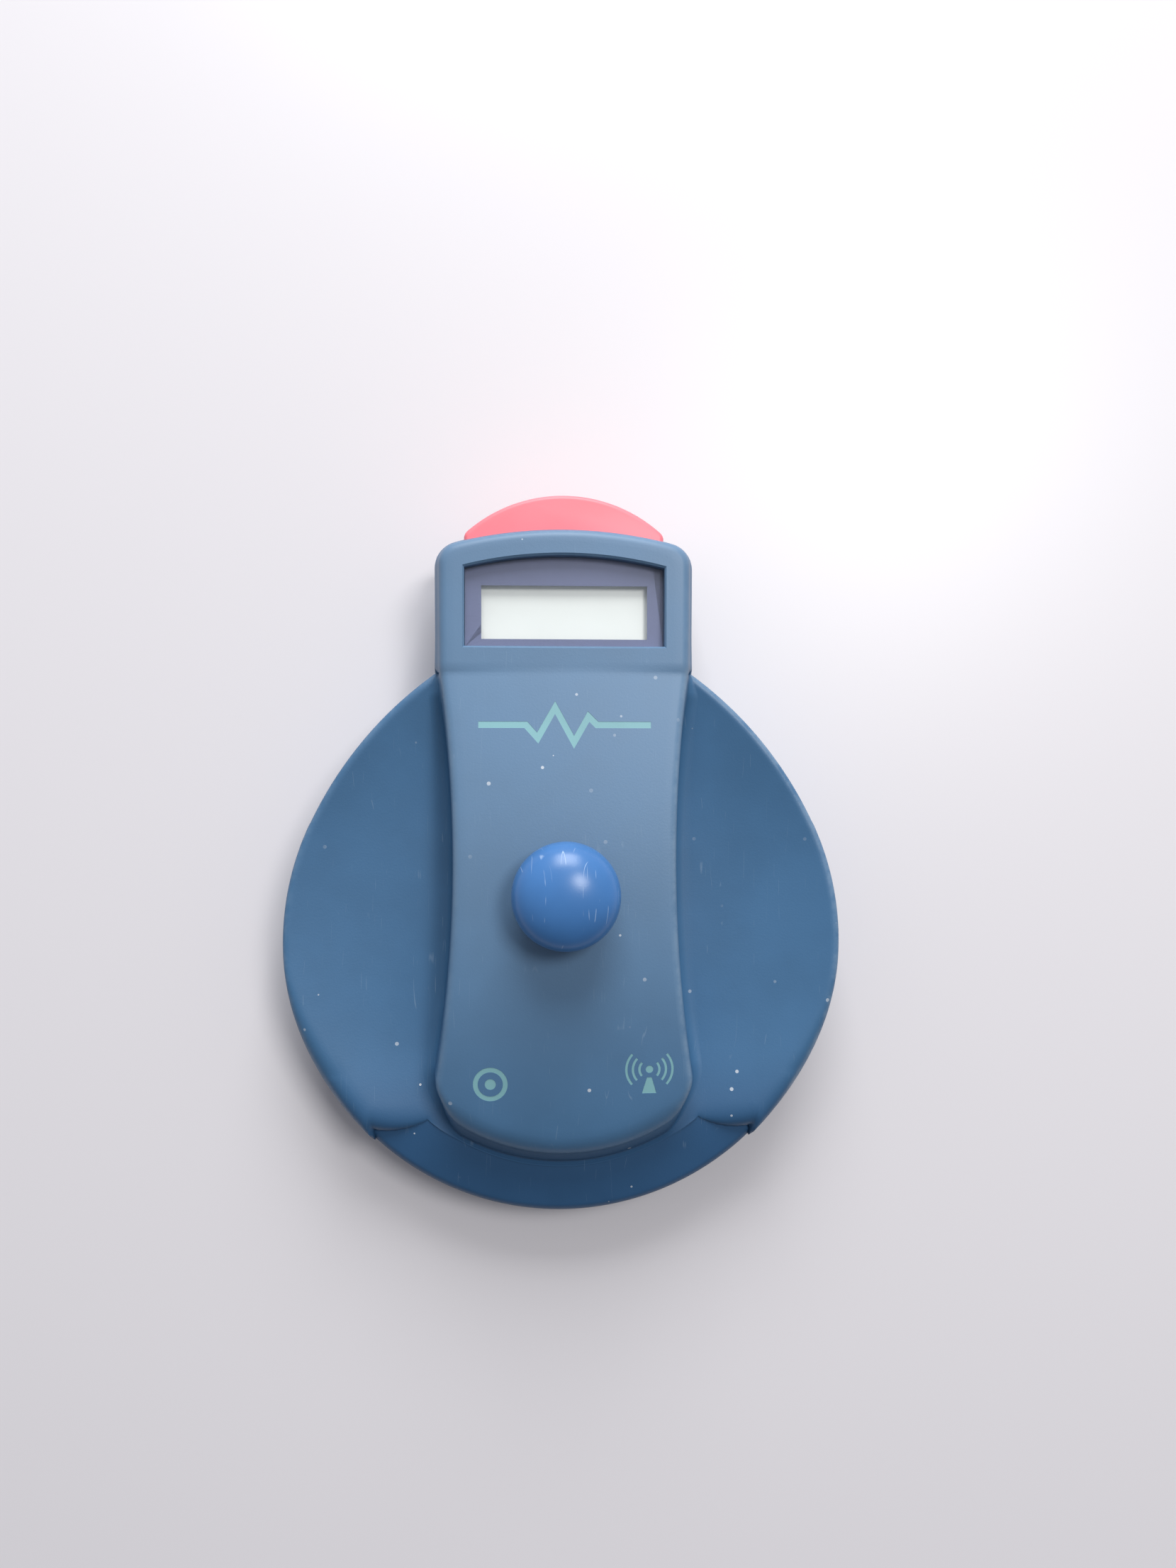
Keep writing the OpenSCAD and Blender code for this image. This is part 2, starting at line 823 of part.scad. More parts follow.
module button_spring() {
    steps = 20;
    sides = 6;
    count = spring_turns * steps;
    ring = [for (i = [0 : count], j = [0 : sides - 1])
        let (turn = i * 360 / steps, lift = spring_rise() * i / count, side = j * 360 / sides)
        [(spring_r + spring_wire / 2 * cos(side)) * cos(turn),
            (spring_r + spring_wire / 2 * cos(side)) * sin(turn),
            lift + spring_wire / 2 * sin(side)]];
    skin = [for (i = [0 : count - 1], j = [0 : sides - 1])
        let (k = (j + 1) % sides)
        [i * sides + j, (i + 1) * sides + j, (i + 1) * sides + k, i * sides + k]];
    ends = [[for (j = [0 : sides - 1]) j], [for (j = [sides - 1 : -1 : 0]) count * sides + j]];
    color("silver") at_button(sleeve_top_z + spring_wire / 2) polyhedron(points = ring, faces = concat(skin, ends), convexity = 8);
}

module switch_body() {
    color("dimgray") difference() {
        translate([-switch_w / 2, button_y - switch_w / 2, board_top_z]) cube([switch_w, switch_w, switch_h]);
        at_button(board_top_z + switch_h - plunger_in - button_travel - plunger_end_gap)
            cylinder(h = switch_h, r = plunger_r + fit_gap);
    }
}

module switch_plunger() {
    color("firebrick") at_button(board_top_z + switch_h - plunger_in)
        cylinder(h = stem_bottom_z - board_top_z - switch_h + plunger_in, r = plunger_r);
}

// ---------- inlaid marks ----------

module stroke(from, to, w) {
    run = to - from;
    translate(from) rotate([0, 0, atan2(run[1], run[0])]) translate([0, -w / 2]) square([norm(run), w]);
    translate(from) circle(d = w + sliver);
    translate(to) circle(d = w + sliver);
}

module pulse_glyph() {
    w = 0.9;
    path = [[-12, 0], [-5.4, 0], [-3.4, -1.8], [-0.6, 2.2], [1.8, -2.2], [3.6, 0.9], [5, 0], [12, 0]];
    translate([0, 32]) for (i = [1 : len(path) - 1]) stroke(path[i - 1], path[i], w);
}

module target_glyph() {
    translate([-11, -19.6]) {
        difference() {
            circle(r = 2.4);
            circle(r = 1.7);
        }
        circle(r = 0.8);
    }
}

module signal_glyph() {
    w = 0.35;
    translate([11.8, -17.6]) {
        circle(r = 0.6);
        for (r = [1.6, 2.6], side = [-1, 1])
            intersection() {
                difference() {
                    circle(r = r + w / 2);
                    circle(r = r - w / 2);
                }
                polygon([[0, 0], [side * 4, 3.2], [side * 4, -3.2]]);
            }
        polygon([[-0.35, -1.1], [0.35, -1.1], [1.1, -3.8], [-1.1, -3.8]]);
    }
}

module mark_shell(depth) {
    intersection() {
        slab(rim_z, saddle_z + 1) children();
        difference() {
            arch(0);
            arch(depth);
        }
    }
}

module marks(depth) {
    mark_shell(depth) pulse_glyph();
    mark_shell(depth) target_glyph();
    mark_shell(depth) signal_glyph();
}

module pulse_mark() { color("cadetblue") mark_shell(0.3) pulse_glyph(); }
module target_mark() { color("cadetblue") mark_shell(0.3) target_glyph(); }
module signal_mark() { color("cadetblue") mark_shell(0.3) signal_glyph(); }

top_cover();
base_cover();
case_seal();
case_screws();
rim_cap();
charge_contacts();
contact_board();
end_cap();
aerial();
aerial_lead();
sound_plate();
plate_seal();
crystal_discs();
crystal_holder();
crystal_leads();
main_board();
board_screws();
chips();
shield_can();
battery();
battery_tray();
battery_pad();
battery_leads();
battery_plug();
window();
window_border();
display_glass();
display_frame();
contact_strips();
display_board();
display_screws();
ribbon_cable();
button_head();
button_stem();
button_spring();
button_seal();
button_clip();
guide_sleeve();
switch_body();
switch_plunger();
pulse_mark();
target_mark();
signal_mark();
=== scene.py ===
import math

import bmesh
import bpy
import numpy as np
from mathutils import Matrix, Vector


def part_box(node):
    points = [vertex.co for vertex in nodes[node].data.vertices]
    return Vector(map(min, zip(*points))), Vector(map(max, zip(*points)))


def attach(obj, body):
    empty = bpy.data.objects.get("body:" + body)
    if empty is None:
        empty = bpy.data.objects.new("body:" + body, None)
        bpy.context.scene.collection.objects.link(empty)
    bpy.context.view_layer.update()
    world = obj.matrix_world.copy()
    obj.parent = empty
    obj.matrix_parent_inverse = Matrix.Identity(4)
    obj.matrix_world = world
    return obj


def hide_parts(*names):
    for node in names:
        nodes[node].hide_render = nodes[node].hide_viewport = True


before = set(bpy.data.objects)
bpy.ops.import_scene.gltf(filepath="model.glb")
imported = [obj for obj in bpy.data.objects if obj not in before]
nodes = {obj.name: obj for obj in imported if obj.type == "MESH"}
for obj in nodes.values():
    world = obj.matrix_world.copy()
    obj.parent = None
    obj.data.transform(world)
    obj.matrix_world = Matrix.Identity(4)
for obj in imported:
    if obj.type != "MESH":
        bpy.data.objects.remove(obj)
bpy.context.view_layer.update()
mm = 0.001
print("frame loaded:", len(nodes), "nodes")


# the camera stands nearly straight above
cameraSetup = {
    "foot": (-4.5 * mm, 23.8 * mm),      # the point under the camera
    "aim": (3.7 * mm, 23.5 * mm, 12 * mm),
    "height": 190 * mm,
    "lens": 27.15,
    "sensor": 36,
}


def makeCamera(c):
    bpy.ops.object.camera_add(location=(*c["foot"], c["height"]))
    cam = bpy.context.object
    cam.name = "camera"
    look = (Vector(c["aim"]) - cam.location).normalized()
    across = look.cross(Vector((0, 1, 0))).normalized()
    turned = Matrix((across, across.cross(look), -look)).transposed()
    cam.rotation_euler = turned.to_euler()
    cam.data.lens = c["lens"]
    cam.data.sensor_width = c["sensor"]
    cam.data.dof.use_dof = False
    cam.data.clip_start = 0.005
    bpy.context.scene.camera = cam


makeCamera(cameraSetup)


def clearSelection():
    if bpy.context.object and bpy.context.object.mode != "OBJECT":
        bpy.ops.object.mode_set(mode="OBJECT")
    bpy.ops.object.select_all(action="DESELECT")


def pick(obj):
    clearSelection()
    obj.select_set(True)
    bpy.context.view_layer.objects.active = obj


def useModifier(obj, kind, **values):
    pick(obj)
    mod = obj.modifiers.new(kind.lower(), kind)
    for key, value in values.items():
        setattr(mod, key, value)
    bpy.ops.object.modifier_apply(modifier=mod.name)
    return obj


def smooth(obj, angle=40):
    pick(obj)
    bpy.ops.object.shade_smooth_by_angle(angle=math.radians(angle))


def cleanUp(obj, distance=0.004 * mm):
    pick(obj)
    bpy.ops.object.mode_set(mode="EDIT")
    bpy.ops.mesh.select_all(action="SELECT")
    bpy.ops.mesh.remove_doubles(threshold=distance)
    bpy.ops.mesh.normals_make_consistent(inside=False)
    bpy.ops.mesh.select_all(action="DESELECT")
    bpy.ops.object.mode_set(mode="OBJECT")


def closeOpenings(obj, distance=0.004 * mm):
    cleanUp(obj, distance)
    pick(obj)
    bpy.ops.object.mode_set(mode="EDIT")
    bpy.ops.mesh.select_all(action="DESELECT")
    bpy.ops.mesh.select_non_manifold()
    bpy.ops.mesh.edge_face_add()
    bpy.ops.mesh.select_all(action="SELECT")
    bpy.ops.mesh.normals_make_consistent(inside=False)
    bpy.ops.object.mode_set(mode="OBJECT")


def selectFaces(obj, test):
    # selected faces take their corners with them, and nothing else stays selected
    bpy.ops.object.mode_set(mode="OBJECT")
    for part in (obj.data.edges, obj.data.vertices):
        for piece in part:
            piece.select = False
    for face in obj.data.polygons:
        face.select = test(face)
        for i in face.vertices if face.select else ():
            obj.data.vertices[i].select = True
    bpy.ops.object.mode_set(mode="EDIT")


def step(low, high, x):
    t = min(max((x - low) / (high - low), 0), 1)
    return t * t * (3 - 2 * t)


def mix(a, b, t):
    return tuple(p + (q - p) * t for p, q in zip(a, b))


def meshFrom(name, points, faces):
    data = bpy.data.meshes.new(name)
    data.from_pydata(points, [], faces)
    data.update()
    obj = bpy.data.objects.new(name, data)
    bpy.context.collection.objects.link(obj)
    return obj


def finishPiece(obj, body, material, replaced=()):
    obj.data.materials.clear()
    obj.data.materials.append(material)
    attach(obj, body)
    if replaced:
        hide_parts(*replaced)
    return obj


# the shared shader groups give out masks and heights only
def newGroup(name, inputs, outputs):
    group = bpy.data.node_groups.new(name, "ShaderNodeTree")
    for label, kind, value in inputs:
        socket = group.interface.new_socket(label, in_out="INPUT", socket_type=kind)
        if value is not None:
            socket.default_value = value
    for label, kind in outputs:
        group.interface.new_socket(label, in_out="OUTPUT", socket_type=kind)
    start = group.nodes.new("NodeGroupInput")
    end = group.nodes.new("NodeGroupOutput")
    return group, start, end


def mathNode(tree, operation, a, b=None, c=None, clamp=False):
    node = tree.nodes.new("ShaderNodeMath")
    node.operation = operation
    node.use_clamp = clamp
    for i, value in enumerate((a, b, c)):
        if value is None:
            continue
        if isinstance(value, (int, float)):
            node.inputs[i].default_value = value
        else:
            tree.links.new(value, node.inputs[i])
    return node.outputs[0]


def ramp(tree, source, low, high):
    node = tree.nodes.new("ShaderNodeMapRange")
    node.interpolation_type = "SMOOTHSTEP"
    node.inputs["From Min"].default_value = low
    node.inputs["From Max"].default_value = high
    tree.links.new(source, node.inputs["Value"])
    return node.outputs["Result"]


def noise(tree, vector, scale, detail=3.0, rough=0.5, distortion=0.0):
    node = tree.nodes.new("ShaderNodeTexNoise")
    node.inputs["Scale"].default_value = scale
    node.inputs["Detail"].default_value = detail
    node.inputs["Roughness"].default_value = rough
    node.inputs["Distortion"].default_value = distortion
    tree.links.new(vector, node.inputs["Vector"])
    return node.outputs["Fac"]


grainScale = {"fine": 3200, "clouds": 55}
dustLook = {"kept": 0.8, "patchScale": 60, "patchRange": (0.42, 0.62)}
scratchLook = {"turns": (0.4, 1.3, 2.3), "stretch": (1, 0.05, 0.3), "thin": 0.004,
               "gateScale": 190, "gateStep": 40, "gateRange": (0.6, 0.68)}


def makeGrainGroup():
    # moulded plastic skin: a fine grain, and slow clouds that shift tone and gloss
    group, start, end = newGroup(
        "mouldGrain",
        [("Vector", "NodeSocketVector", None), ("Size", "NodeSocketFloat", 1.0)],
        [("Height", "NodeSocketFloat"), ("Clouds", "NodeSocketFloat")],
    )
    scaled = group.nodes.new("ShaderNodeVectorMath")
    scaled.operation = "SCALE"
    group.links.new(start.outputs["Vector"], scaled.inputs[0])
    group.links.new(start.outputs["Size"], scaled.inputs["Scale"])
    fine = noise(group, scaled.outputs[0], grainScale["fine"], 2.0, 0.6)
    broad = noise(group, scaled.outputs[0], grainScale["clouds"], 4.0, 0.55)
    group.links.new(fine, end.inputs["Height"])
    group.links.new(broad, end.inputs["Clouds"])
    return group


def makeDustGroup():
    # pale specks of dust, thinned out by a slow noise so that they lie in patches
    group, start, end = newGroup(
        "dustSpecks",
        [("Vector", "NodeSocketVector", None), ("Scale", "NodeSocketFloat", 420.0),
         ("Size", "NodeSocketFloat", 0.1)],
        [("Mask", "NodeSocketFloat")],
    )
    cells = group.nodes.new("ShaderNodeTexVoronoi")
    cells.inputs["Randomness"].default_value = 1.0
    group.links.new(start.outputs["Vector"], cells.inputs["Vector"])
    group.links.new(start.outputs["Scale"], cells.inputs["Scale"])
    near = mathNode(group, "LESS_THAN", cells.outputs["Distance"], start.outputs["Size"])
    chosen = group.nodes.new("ShaderNodeTexWhiteNoise")
    group.links.new(cells.outputs["Position"], chosen.inputs["Vector"])
    few = mathNode(group, "GREATER_THAN", chosen.outputs["Value"], dustLook["kept"])
    patch = ramp(group, noise(group, start.outputs["Vector"], dustLook["patchScale"], 2.0),
                 *dustLook["patchRange"])
    mask = mathNode(group, "MULTIPLY", mathNode(group, "MULTIPLY", near, few), patch)
    group.links.new(mask, end.inputs["Mask"])
    return group


def makeScratchGroup():
    # thin curved hairline scratches in three directions
    group, start, end = newGroup(
        "hairScratches",
        [("Vector", "NodeSocketVector", None), ("Scale", "NodeSocketFloat", 320.0)],
        [("Mask", "NodeSocketFloat")],
    )
    c = scratchLook
    masks = []
    for turn in c["turns"]:
        place = group.nodes.new("ShaderNodeMapping")
        place.inputs["Rotation"].default_value = (0, 0, turn)
        place.inputs["Scale"].default_value = c["stretch"]
        group.links.new(start.outputs["Vector"], place.inputs["Vector"])
        grain = group.nodes.new("ShaderNodeTexNoise")
        grain.inputs["Detail"].default_value = 1.0
        grain.inputs["Distortion"].default_value = 0.25
        group.links.new(place.outputs[0], grain.inputs["Vector"])
        group.links.new(start.outputs["Scale"], grain.inputs["Scale"])
        line = mathNode(group, "ABSOLUTE", mathNode(group, "SUBTRACT", grain.outputs["Fac"], 0.5))
        thin = ramp(group, line, c["thin"], 0.0)
        patches = noise(group, start.outputs["Vector"], c["gateScale"] + c["gateStep"] * turn, 1.0)
        gate = ramp(group, patches, *c["gateRange"])
        masks.append(mathNode(group, "MULTIPLY", thin, gate))
    most = mathNode(group, "MAXIMUM", mathNode(group, "MAXIMUM", masks[0], masks[1]), masks[2])
    group.links.new(most, end.inputs["Mask"])
    return group


grainGroup = makeGrainGroup()
dustGroup = makeDustGroup()
scratchGroup = makeScratchGroup()


def colour(r, g, b):
    linear = []
    for value in (r, g, b):
        value /= 255
        linear.append(value / 12.92 if value <= 0.04045 else ((value + 0.055) / 1.055) ** 2.4)
    return (*linear, 1)


def placed(tree, group, coords, **values):
    node = tree.nodes.new("ShaderNodeGroup")
    node.node_tree = group
    tree.links.new(coords, node.inputs["Vector"])
    for key, value in values.items():
        node.inputs[key].default_value = value
    return node.outputs


def blendColour(tree, factor, a, b):
    node = tree.nodes.new("ShaderNodeMix")
    node.data_type = "RGBA"
    tree.links.new(factor, node.inputs["Factor"])
    for socket, value in ((node.inputs[6], a), (node.inputs[7], b)):
        if isinstance(value, tuple):
            socket.default_value = value
        else:
            tree.links.new(value, socket)
    return node.outputs[2]


# where the shell's painted sheen (pale) and painted shade (deep) fade in, in metres
paintedLightFade = {
    "pale": {"z": (0.0155, 0.0185), "y": (-0.045, 0.02), "strength": 0.26},
    "deep": {"z": (0.0168, 0.0138), "y": (-0.016, -0.0295), "strength": 0.85},
}
dustColour = colour(214, 220, 226)


def plasticMaterial(name, tone, wornAndSheen, roughness, grain=0.03, dust=0.1, clouds=0.12, scratches=0.0,
                    wear=False, shine=0.5, grainSize=1.0, coat=0.0):
    mat = bpy.data.materials.new(name)
    mat.use_nodes = True
    tree = mat.node_tree
    shader = tree.nodes["Principled BSDF"]
    coords = tree.nodes.new("ShaderNodeTexCoord").outputs["Object"]
    skin = placed(tree, grainGroup, coords, Size=grainSize)
    darker = tuple(v * (1 - clouds) for v in tone[:3]) + (1,)
    lighter = tuple(min(v * (1 + clouds), 1) for v in tone[:3]) + (1,)
    base = blendColour(tree, ramp(tree, skin["Clouds"], 0.3, 0.7), darker, lighter)
    rough = mathNode(tree, "MULTIPLY_ADD", skin["Clouds"], 0.12, roughness - 0.06)
    if wear:
        # painted sheen: a paler tone on the raised top, stronger towards the display, in place of the
        # light's glossy reflection there
        place = tree.nodes.new("ShaderNodeSeparateXYZ")
        tree.links.new(coords, place.inputs[0])
        pale, deep = paintedLightFade["pale"], paintedLightFade["deep"]
        paintedSheenMask = mathNode(tree, "MULTIPLY", ramp(tree, place.outputs["Z"], *pale["z"]),
                          ramp(tree, place.outputs["Y"], *pale["y"]))
        base = blendColour(tree, mathNode(tree, "MULTIPLY", paintedSheenMask, pale["strength"]), base, wornAndSheen)
        # painted shade: the low end, whose slopes face away from the lights, is darkened to the rim cap's
        # shaded tone
        paintedShadeMask = mathNode(tree, "MULTIPLY", ramp(tree, place.outputs["Z"], *deep["z"]),
                          ramp(tree, place.outputs["Y"], *deep["y"]))
        base = blendColour(tree, mathNode(tree, "MULTIPLY", paintedShadeMask, deep["strength"]), base,
                           shellTone["low"])
        edge = tree.nodes.new("ShaderNodeAttribute")
        edge.attribute_name = "wear"
        patchy = ramp(tree, noise(tree, coords, 260, 4.0, 0.7), 0.35, 0.65)
        rubbed = mathNode(tree, "MULTIPLY", edge.outputs["Fac"],
                          mathNode(tree, "MULTIPLY_ADD", patchy, 0.45, 0.08), clamp=True)
        base = blendColour(tree, rubbed, base, wornAndSheen)
        rough = mathNode(tree, "MULTIPLY_ADD", rubbed, -0.08, rough)
    if scratches:
        marks = placed(tree, scratchGroup, coords)["Mask"]
        base = blendColour(tree, mathNode(tree, "MULTIPLY", marks, scratches), base, wornAndSheen)
        rough = mathNode(tree, "MULTIPLY_ADD", marks, 0.15, rough)
    if dust:
        specks = placed(tree, dustGroup, coords, Size=dust)["Mask"]
        base = blendColour(tree, mathNode(tree, "MULTIPLY", specks, 0.8), base, dustColour)
    tree.links.new(base, shader.inputs["Base Color"])
    tree.links.new(rough, shader.inputs["Roughness"])
    shader.inputs["Specular IOR Level"].default_value = shine
    shader.inputs["Coat Weight"].default_value = coat
    shader.inputs["Coat Roughness"].default_value = 0.25
    bump = tree.nodes.new("ShaderNodeBump")
    bump.inputs["Strength"].default_value = grain
    bump.inputs["Distance"].default_value = 0.05 * mm
    tree.links.new(skin["Height"], bump.inputs["Height"])
    tree.links.new(bump.outputs[0], shader.inputs["Normal"])
    return mat


def metalMaterial(name, tone, roughness):
    mat = bpy.data.materials.new(name)
    mat.use_nodes = True
    tree = mat.node_tree
    shader = tree.nodes["Principled BSDF"]
    coords = tree.nodes.new("ShaderNodeTexCoord").outputs["Object"]
    skin = placed(tree, grainGroup, coords, Size=0.6)
    tint = ramp(tree, skin["Clouds"], 0.2, 0.8)
    darker = tuple(v * 0.8 for v in tone[:3]) + (1,)
    tree.links.new(blendColour(tree, tint, darker, tone), shader.inputs["Base Color"])
    tree.links.new(mathNode(tree, "MULTIPLY_ADD", skin["Clouds"], 0.2, roughness - 0.1),
                   shader.inputs["Roughness"])
    shader.inputs["Metallic"].default_value = 1.0
    bump = tree.nodes.new("ShaderNodeBump")
    bump.inputs["Strength"].default_value = 0.1
    bump.inputs["Distance"].default_value = 0.02 * mm
    tree.links.new(skin["Height"], bump.inputs["Height"])
    tree.links.new(bump.outputs[0], shader.inputs["Normal"])
    return mat


def windowMaterial(name):
    # a clear moulded pane, thin enough to be drawn as a nearly clear skin with its own gloss
    mat = bpy.data.materials.new(name)
    mat.use_nodes = True
    tree = mat.node_tree
    shader = tree.nodes["Principled BSDF"]
    coords = tree.nodes.new("ShaderNodeTexCoord").outputs["Object"]
    smears = placed(tree, scratchGroup, coords, Scale=240.0)["Mask"]
    shader.inputs["Base Color"].default_value = colour(196, 204, 210)
    shader.inputs["Alpha"].default_value = 0.07
    tree.links.new(mathNode(tree, "MULTIPLY_ADD", smears, 0.3, 0.08), shader.inputs["Roughness"])
    return mat


# the 'low' tone is the shell's blue drawn darker as painted shade, for the rim cap and the shell's low
# end; the paler tone serves rubbed wear and also the painted sheen on the raised top
shellTone = {"base": colour(63, 106, 144), "wornAndSheen": colour(150, 172, 192), "low": colour(44, 85, 124)}
shellBlue = plasticMaterial("shellBlue", shellTone["base"], shellTone["wornAndSheen"], 0.46, grain=0.25,
                            dust=0.12, clouds=0.07, scratches=0.22, wear=True)
# the rim cap is the shell's blue plastic, drawn darker as painted shade where its face slopes away from
# the lights
capShadedBlue = plasticMaterial("capShadedBlue", shellTone["low"], shellTone["wornAndSheen"], 0.5, grain=0.25,
                          dust=0.1, clouds=0.06, scratches=0.2)
capCoral = plasticMaterial("capCoral", colour(246, 126, 136), colour(255, 190, 195), 0.42, grain=0.12,
                           dust=0.05, clouds=0.05)
knobBlue = plasticMaterial("knobBlue", colour(68, 121, 182), colour(165, 190, 222), 0.3, grain=0.08,
                           dust=0.09, clouds=0.1, scratches=0.9)
plateGrey = plasticMaterial("plateGrey", colour(196, 200, 200), colour(235, 235, 235), 0.4, grain=0.1,
                            dust=0.06, clouds=0.04, scratches=0.4)
markTeal = plasticMaterial("markTeal", colour(124, 172, 178), colour(190, 214, 214), 0.5, grain=0.1,
                           dust=0.05, clouds=0.1)
borderGrey = plasticMaterial("borderGrey", colour(106, 114, 148), colour(150, 156, 176), 0.5, grain=0.05,
                             dust=0.0, clouds=0.05)
displayGrey = plasticMaterial("displayGrey", colour(248, 252, 246), colour(240, 240, 240), 0.35,
                              grain=0.05, dust=0.03, clouds=0.02)
# inner plastics: tone, paler tone, roughness, grain
innerLook = {
    "sleeveGrey": ((70, 84, 100), (120, 130, 140), 0.45, 0.03),
    "blackPlastic": ((36, 36, 38), (80, 80, 82), 0.5, 0.03),
    "whitePlastic": ((222, 220, 212), (240, 240, 236), 0.45, 0.03),
    "boardGreen": ((30, 92, 58), (90, 140, 110), 0.35, 0.1),
    "cellWrap": ((84, 92, 104), (130, 136, 144), 0.35, 0.03),
    "wireRed": ((176, 40, 36), (210, 120, 116), 0.45, 0.03),
    "ribbonAmber": ((190, 128, 56), (214, 170, 110), 0.35, 0.03),
    "crystalTan": ((206, 196, 160), (226, 220, 196), 0.4, 0.03),
}
inner = {name: plasticMaterial(name, colour(*tone), colour(*pale), rough, grain=grain, dust=0.0)
         for name, (tone, pale, rough, grain) in innerLook.items()}
rubberBlack = plasticMaterial("rubberBlack", colour(48, 48, 50), colour(90, 90, 92), 0.75, grain=0.3,
                              dust=0.05)
steel = metalMaterial("steel", (0.62, 0.62, 0.62, 1), 0.32)
tinnedSteel = metalMaterial("tinnedSteel", (0.7, 0.7, 0.68, 1), 0.4)
goldPlate = metalMaterial("goldPlate", (0.83, 0.62, 0.28, 1), 0.25)
windowGlass = windowMaterial("windowGlass")
print("materials made")


# the upper shell, in millimetres: plan curves, heights, fillets and wall
shell = {
    "bodyR": 41.5, "flankR": 57.36, "flankX": 14.41, "flankY": 6.72,
    "waistW": 16.05, "waistY": 12, "sideR": 185,
    "endY": -2.5, "endTopR": 26.8, "endFootR": 31.6, "cornerR": 5.0,
    "neckTopW": 18.25, "neckFootW": 19.05, "neckEnd": 60.4, "neckEndR": 65, "neckCornerR": 3.2,
    "shoulderY": 39.8, "partZ": 9.0,
    "capHalf": 28.4, "padX": 26.5, "padY": -17, "padR": 11.46,
    "archY": 8, "archZ": 22, "archR": 200, "crownR": 420, "neckZ": 19.5,
    "rimZ": 14.5, "capZ": 12.2, "capFlatR": 33, "capFall": 1.7, "capFallPower": 1.3, "capRoll": 1.3,
    "capGap": 0.12, "spineLow": -13.0, "spineHigh": 50.0,
    "topFillet": 1.3, "draft": 0.5, "footFillet": 1.8,
    "endFilletW": 3.2, "endFilletH": 2.4, "endFilletIn": 1.6,
    "thickness": 1.4, "blindZ": 17.0,
    "edgeBand": 3.3, "notchLag": 6.6, "leftWear": 0.45,
    "tipThin": 0.8, "tipReach": 6.0, "tipWall": 0.03, "tipY": -24,
    "buttonHoleR": 4.35, "buttonHoleDepth": 12,
}


def saddleHalf(y):
    s = shell
    return s["waistW"] + s["sideR"] - math.sqrt(s["sideR"] ** 2 - (y - s["waistY"]) ** 2)


def saddleTop(x, y):
    # lengthwise arch with a slight crown; past the shoulder the display face lies level
    s = shell
    arch = s["archZ"] - (y - s["archY"]) ** 2 / (2 * s["archR"]) - x * x / (2 * s["crownR"])
    level = s["neckZ"] - x * x / (2 * s["crownR"]) * 0.3
    return arch + (level - arch) * step(s["shoulderY"] - 0.5, s["shoulderY"] + 0.7, y)


def rimDistance(x, y):
    # how far a point lies inside the round body or its flanks
    s = shell
    turn = math.atan2(y, abs(x))
    if turn < math.radians(25):
        return s["bodyR"] - math.hypot(x, y)
    return s["flankR"] - math.hypot(abs(x) + s["flankX"], y + s["flankY"])


def capTop(x, y):
    # the rim cap's face falls away like a cone and rolls over into the side
    s = shell
    r = math.hypot(x, y)
    slope = max((r - s["capFlatR"]) / (s["bodyR"] - s["capFlatR"]), 0)
    z = s["capZ"] - s["capFall"] * slope ** s["capFallPower"]
    u = min(max((r - s["bodyR"] + s["capRoll"]) / s["capRoll"], 0), 1)
    return s["partZ"] + (z - s["partZ"]) * math.sqrt(1 - u ** 2)


# the finger wings; the pairs are the stretches along Y over which a change comes in
wing = {
    "scoopDepth": 3.3, "scoopReach": 23, "scoopPower": 1.9,
    "upperRise": 0.4, "upperFrom": (15, 40), "lowerDrop": 0.5, "lowerFrom": (-2, -26),
    "rimFillet": 1.1, "padRoll": 4.6, "rollFrom": (-2, -28), "rollDepth": 0.95,
    "capFrom": -20, "seamY": -8, "seamX": 8,
}


def seamDistance(x, y):
    # how far a point lies from the rim cap's seam around the end of a finger pad
    if y > wing["seamY"] or x < wing["seamX"]:
        return 99.0
    return float(np.hypot(seamLine[:, 0] - x, seamLine[:, 1] - y).min())


def wingTop(x, y):
    # a scoop that is deepest along the saddle and rolls over at its outer edge and at its lower end
    w = wing
    near = max(0.0, 1 - max(rimDistance(x, y), 0) / w["scoopReach"])
    z = shell["rimZ"] - w["scoopDepth"] * (1 - near ** w["scoopPower"])
    z += w["upperRise"] * step(*w["upperFrom"], y)
    z -= w["lowerDrop"] * step(*w["lowerFrom"], y) * (1 - near)
    wide = w["rimFillet"] + (w["padRoll"] - w["rimFillet"]) * step(*w["rollFrom"], y)
    u = min(max(min(rimDistance(x, y), seamDistance(x, y)), 0) / wide, 1)
    low = z - w["rollDepth"] * wide
    if y < w["capFrom"]:
        low = max(low, capTop(x, y) + shell["capGap"])
    return low + (z - low) * math.sqrt(1 - (1 - u) ** 2)


def arcPoints(cx, cy, r, a, b, count):
    return [(cx + r * math.cos(math.radians(a + (b - a) * i / count)),
             cy + r * math.sin(math.radians(a + (b - a) * i / count))) for i in range(count + 1)]


def spread(points, count):
    # the same path in equal steps
    line = np.array(points, float)
    run = np.concatenate([[0], np.cumsum(np.hypot(*np.diff(line, axis=0).T))])
    at = np.linspace(0, run[-1], count + 1)
    return [(float(np.interp(t, run, line[:, 0])), float(np.interp(t, run, line[:, 1]))) for t in at]


def roundCorner(before, corner, after, r, count):
    # fillet between two nearly straight stretches
    a = Vector(before) - Vector(corner)
    b = Vector(after) - Vector(corner)
    a.normalize()
    b.normalize()
    half = a.angle(b) / 2
    reach = r / math.tan(half)
    centre = Vector(corner) + (a + b).normalized() * (r / math.sin(half))
    start = Vector(corner) + a * reach - centre
    end = Vector(corner) + b * reach - centre
    total = start.angle_signed(end)
    out = []
    for i in range(count + 1):
        turned = start.copy()
        turned.rotate(Matrix.Rotation(-total * i / count, 2))
        out.append(tuple(centre + turned))
    return out, reach


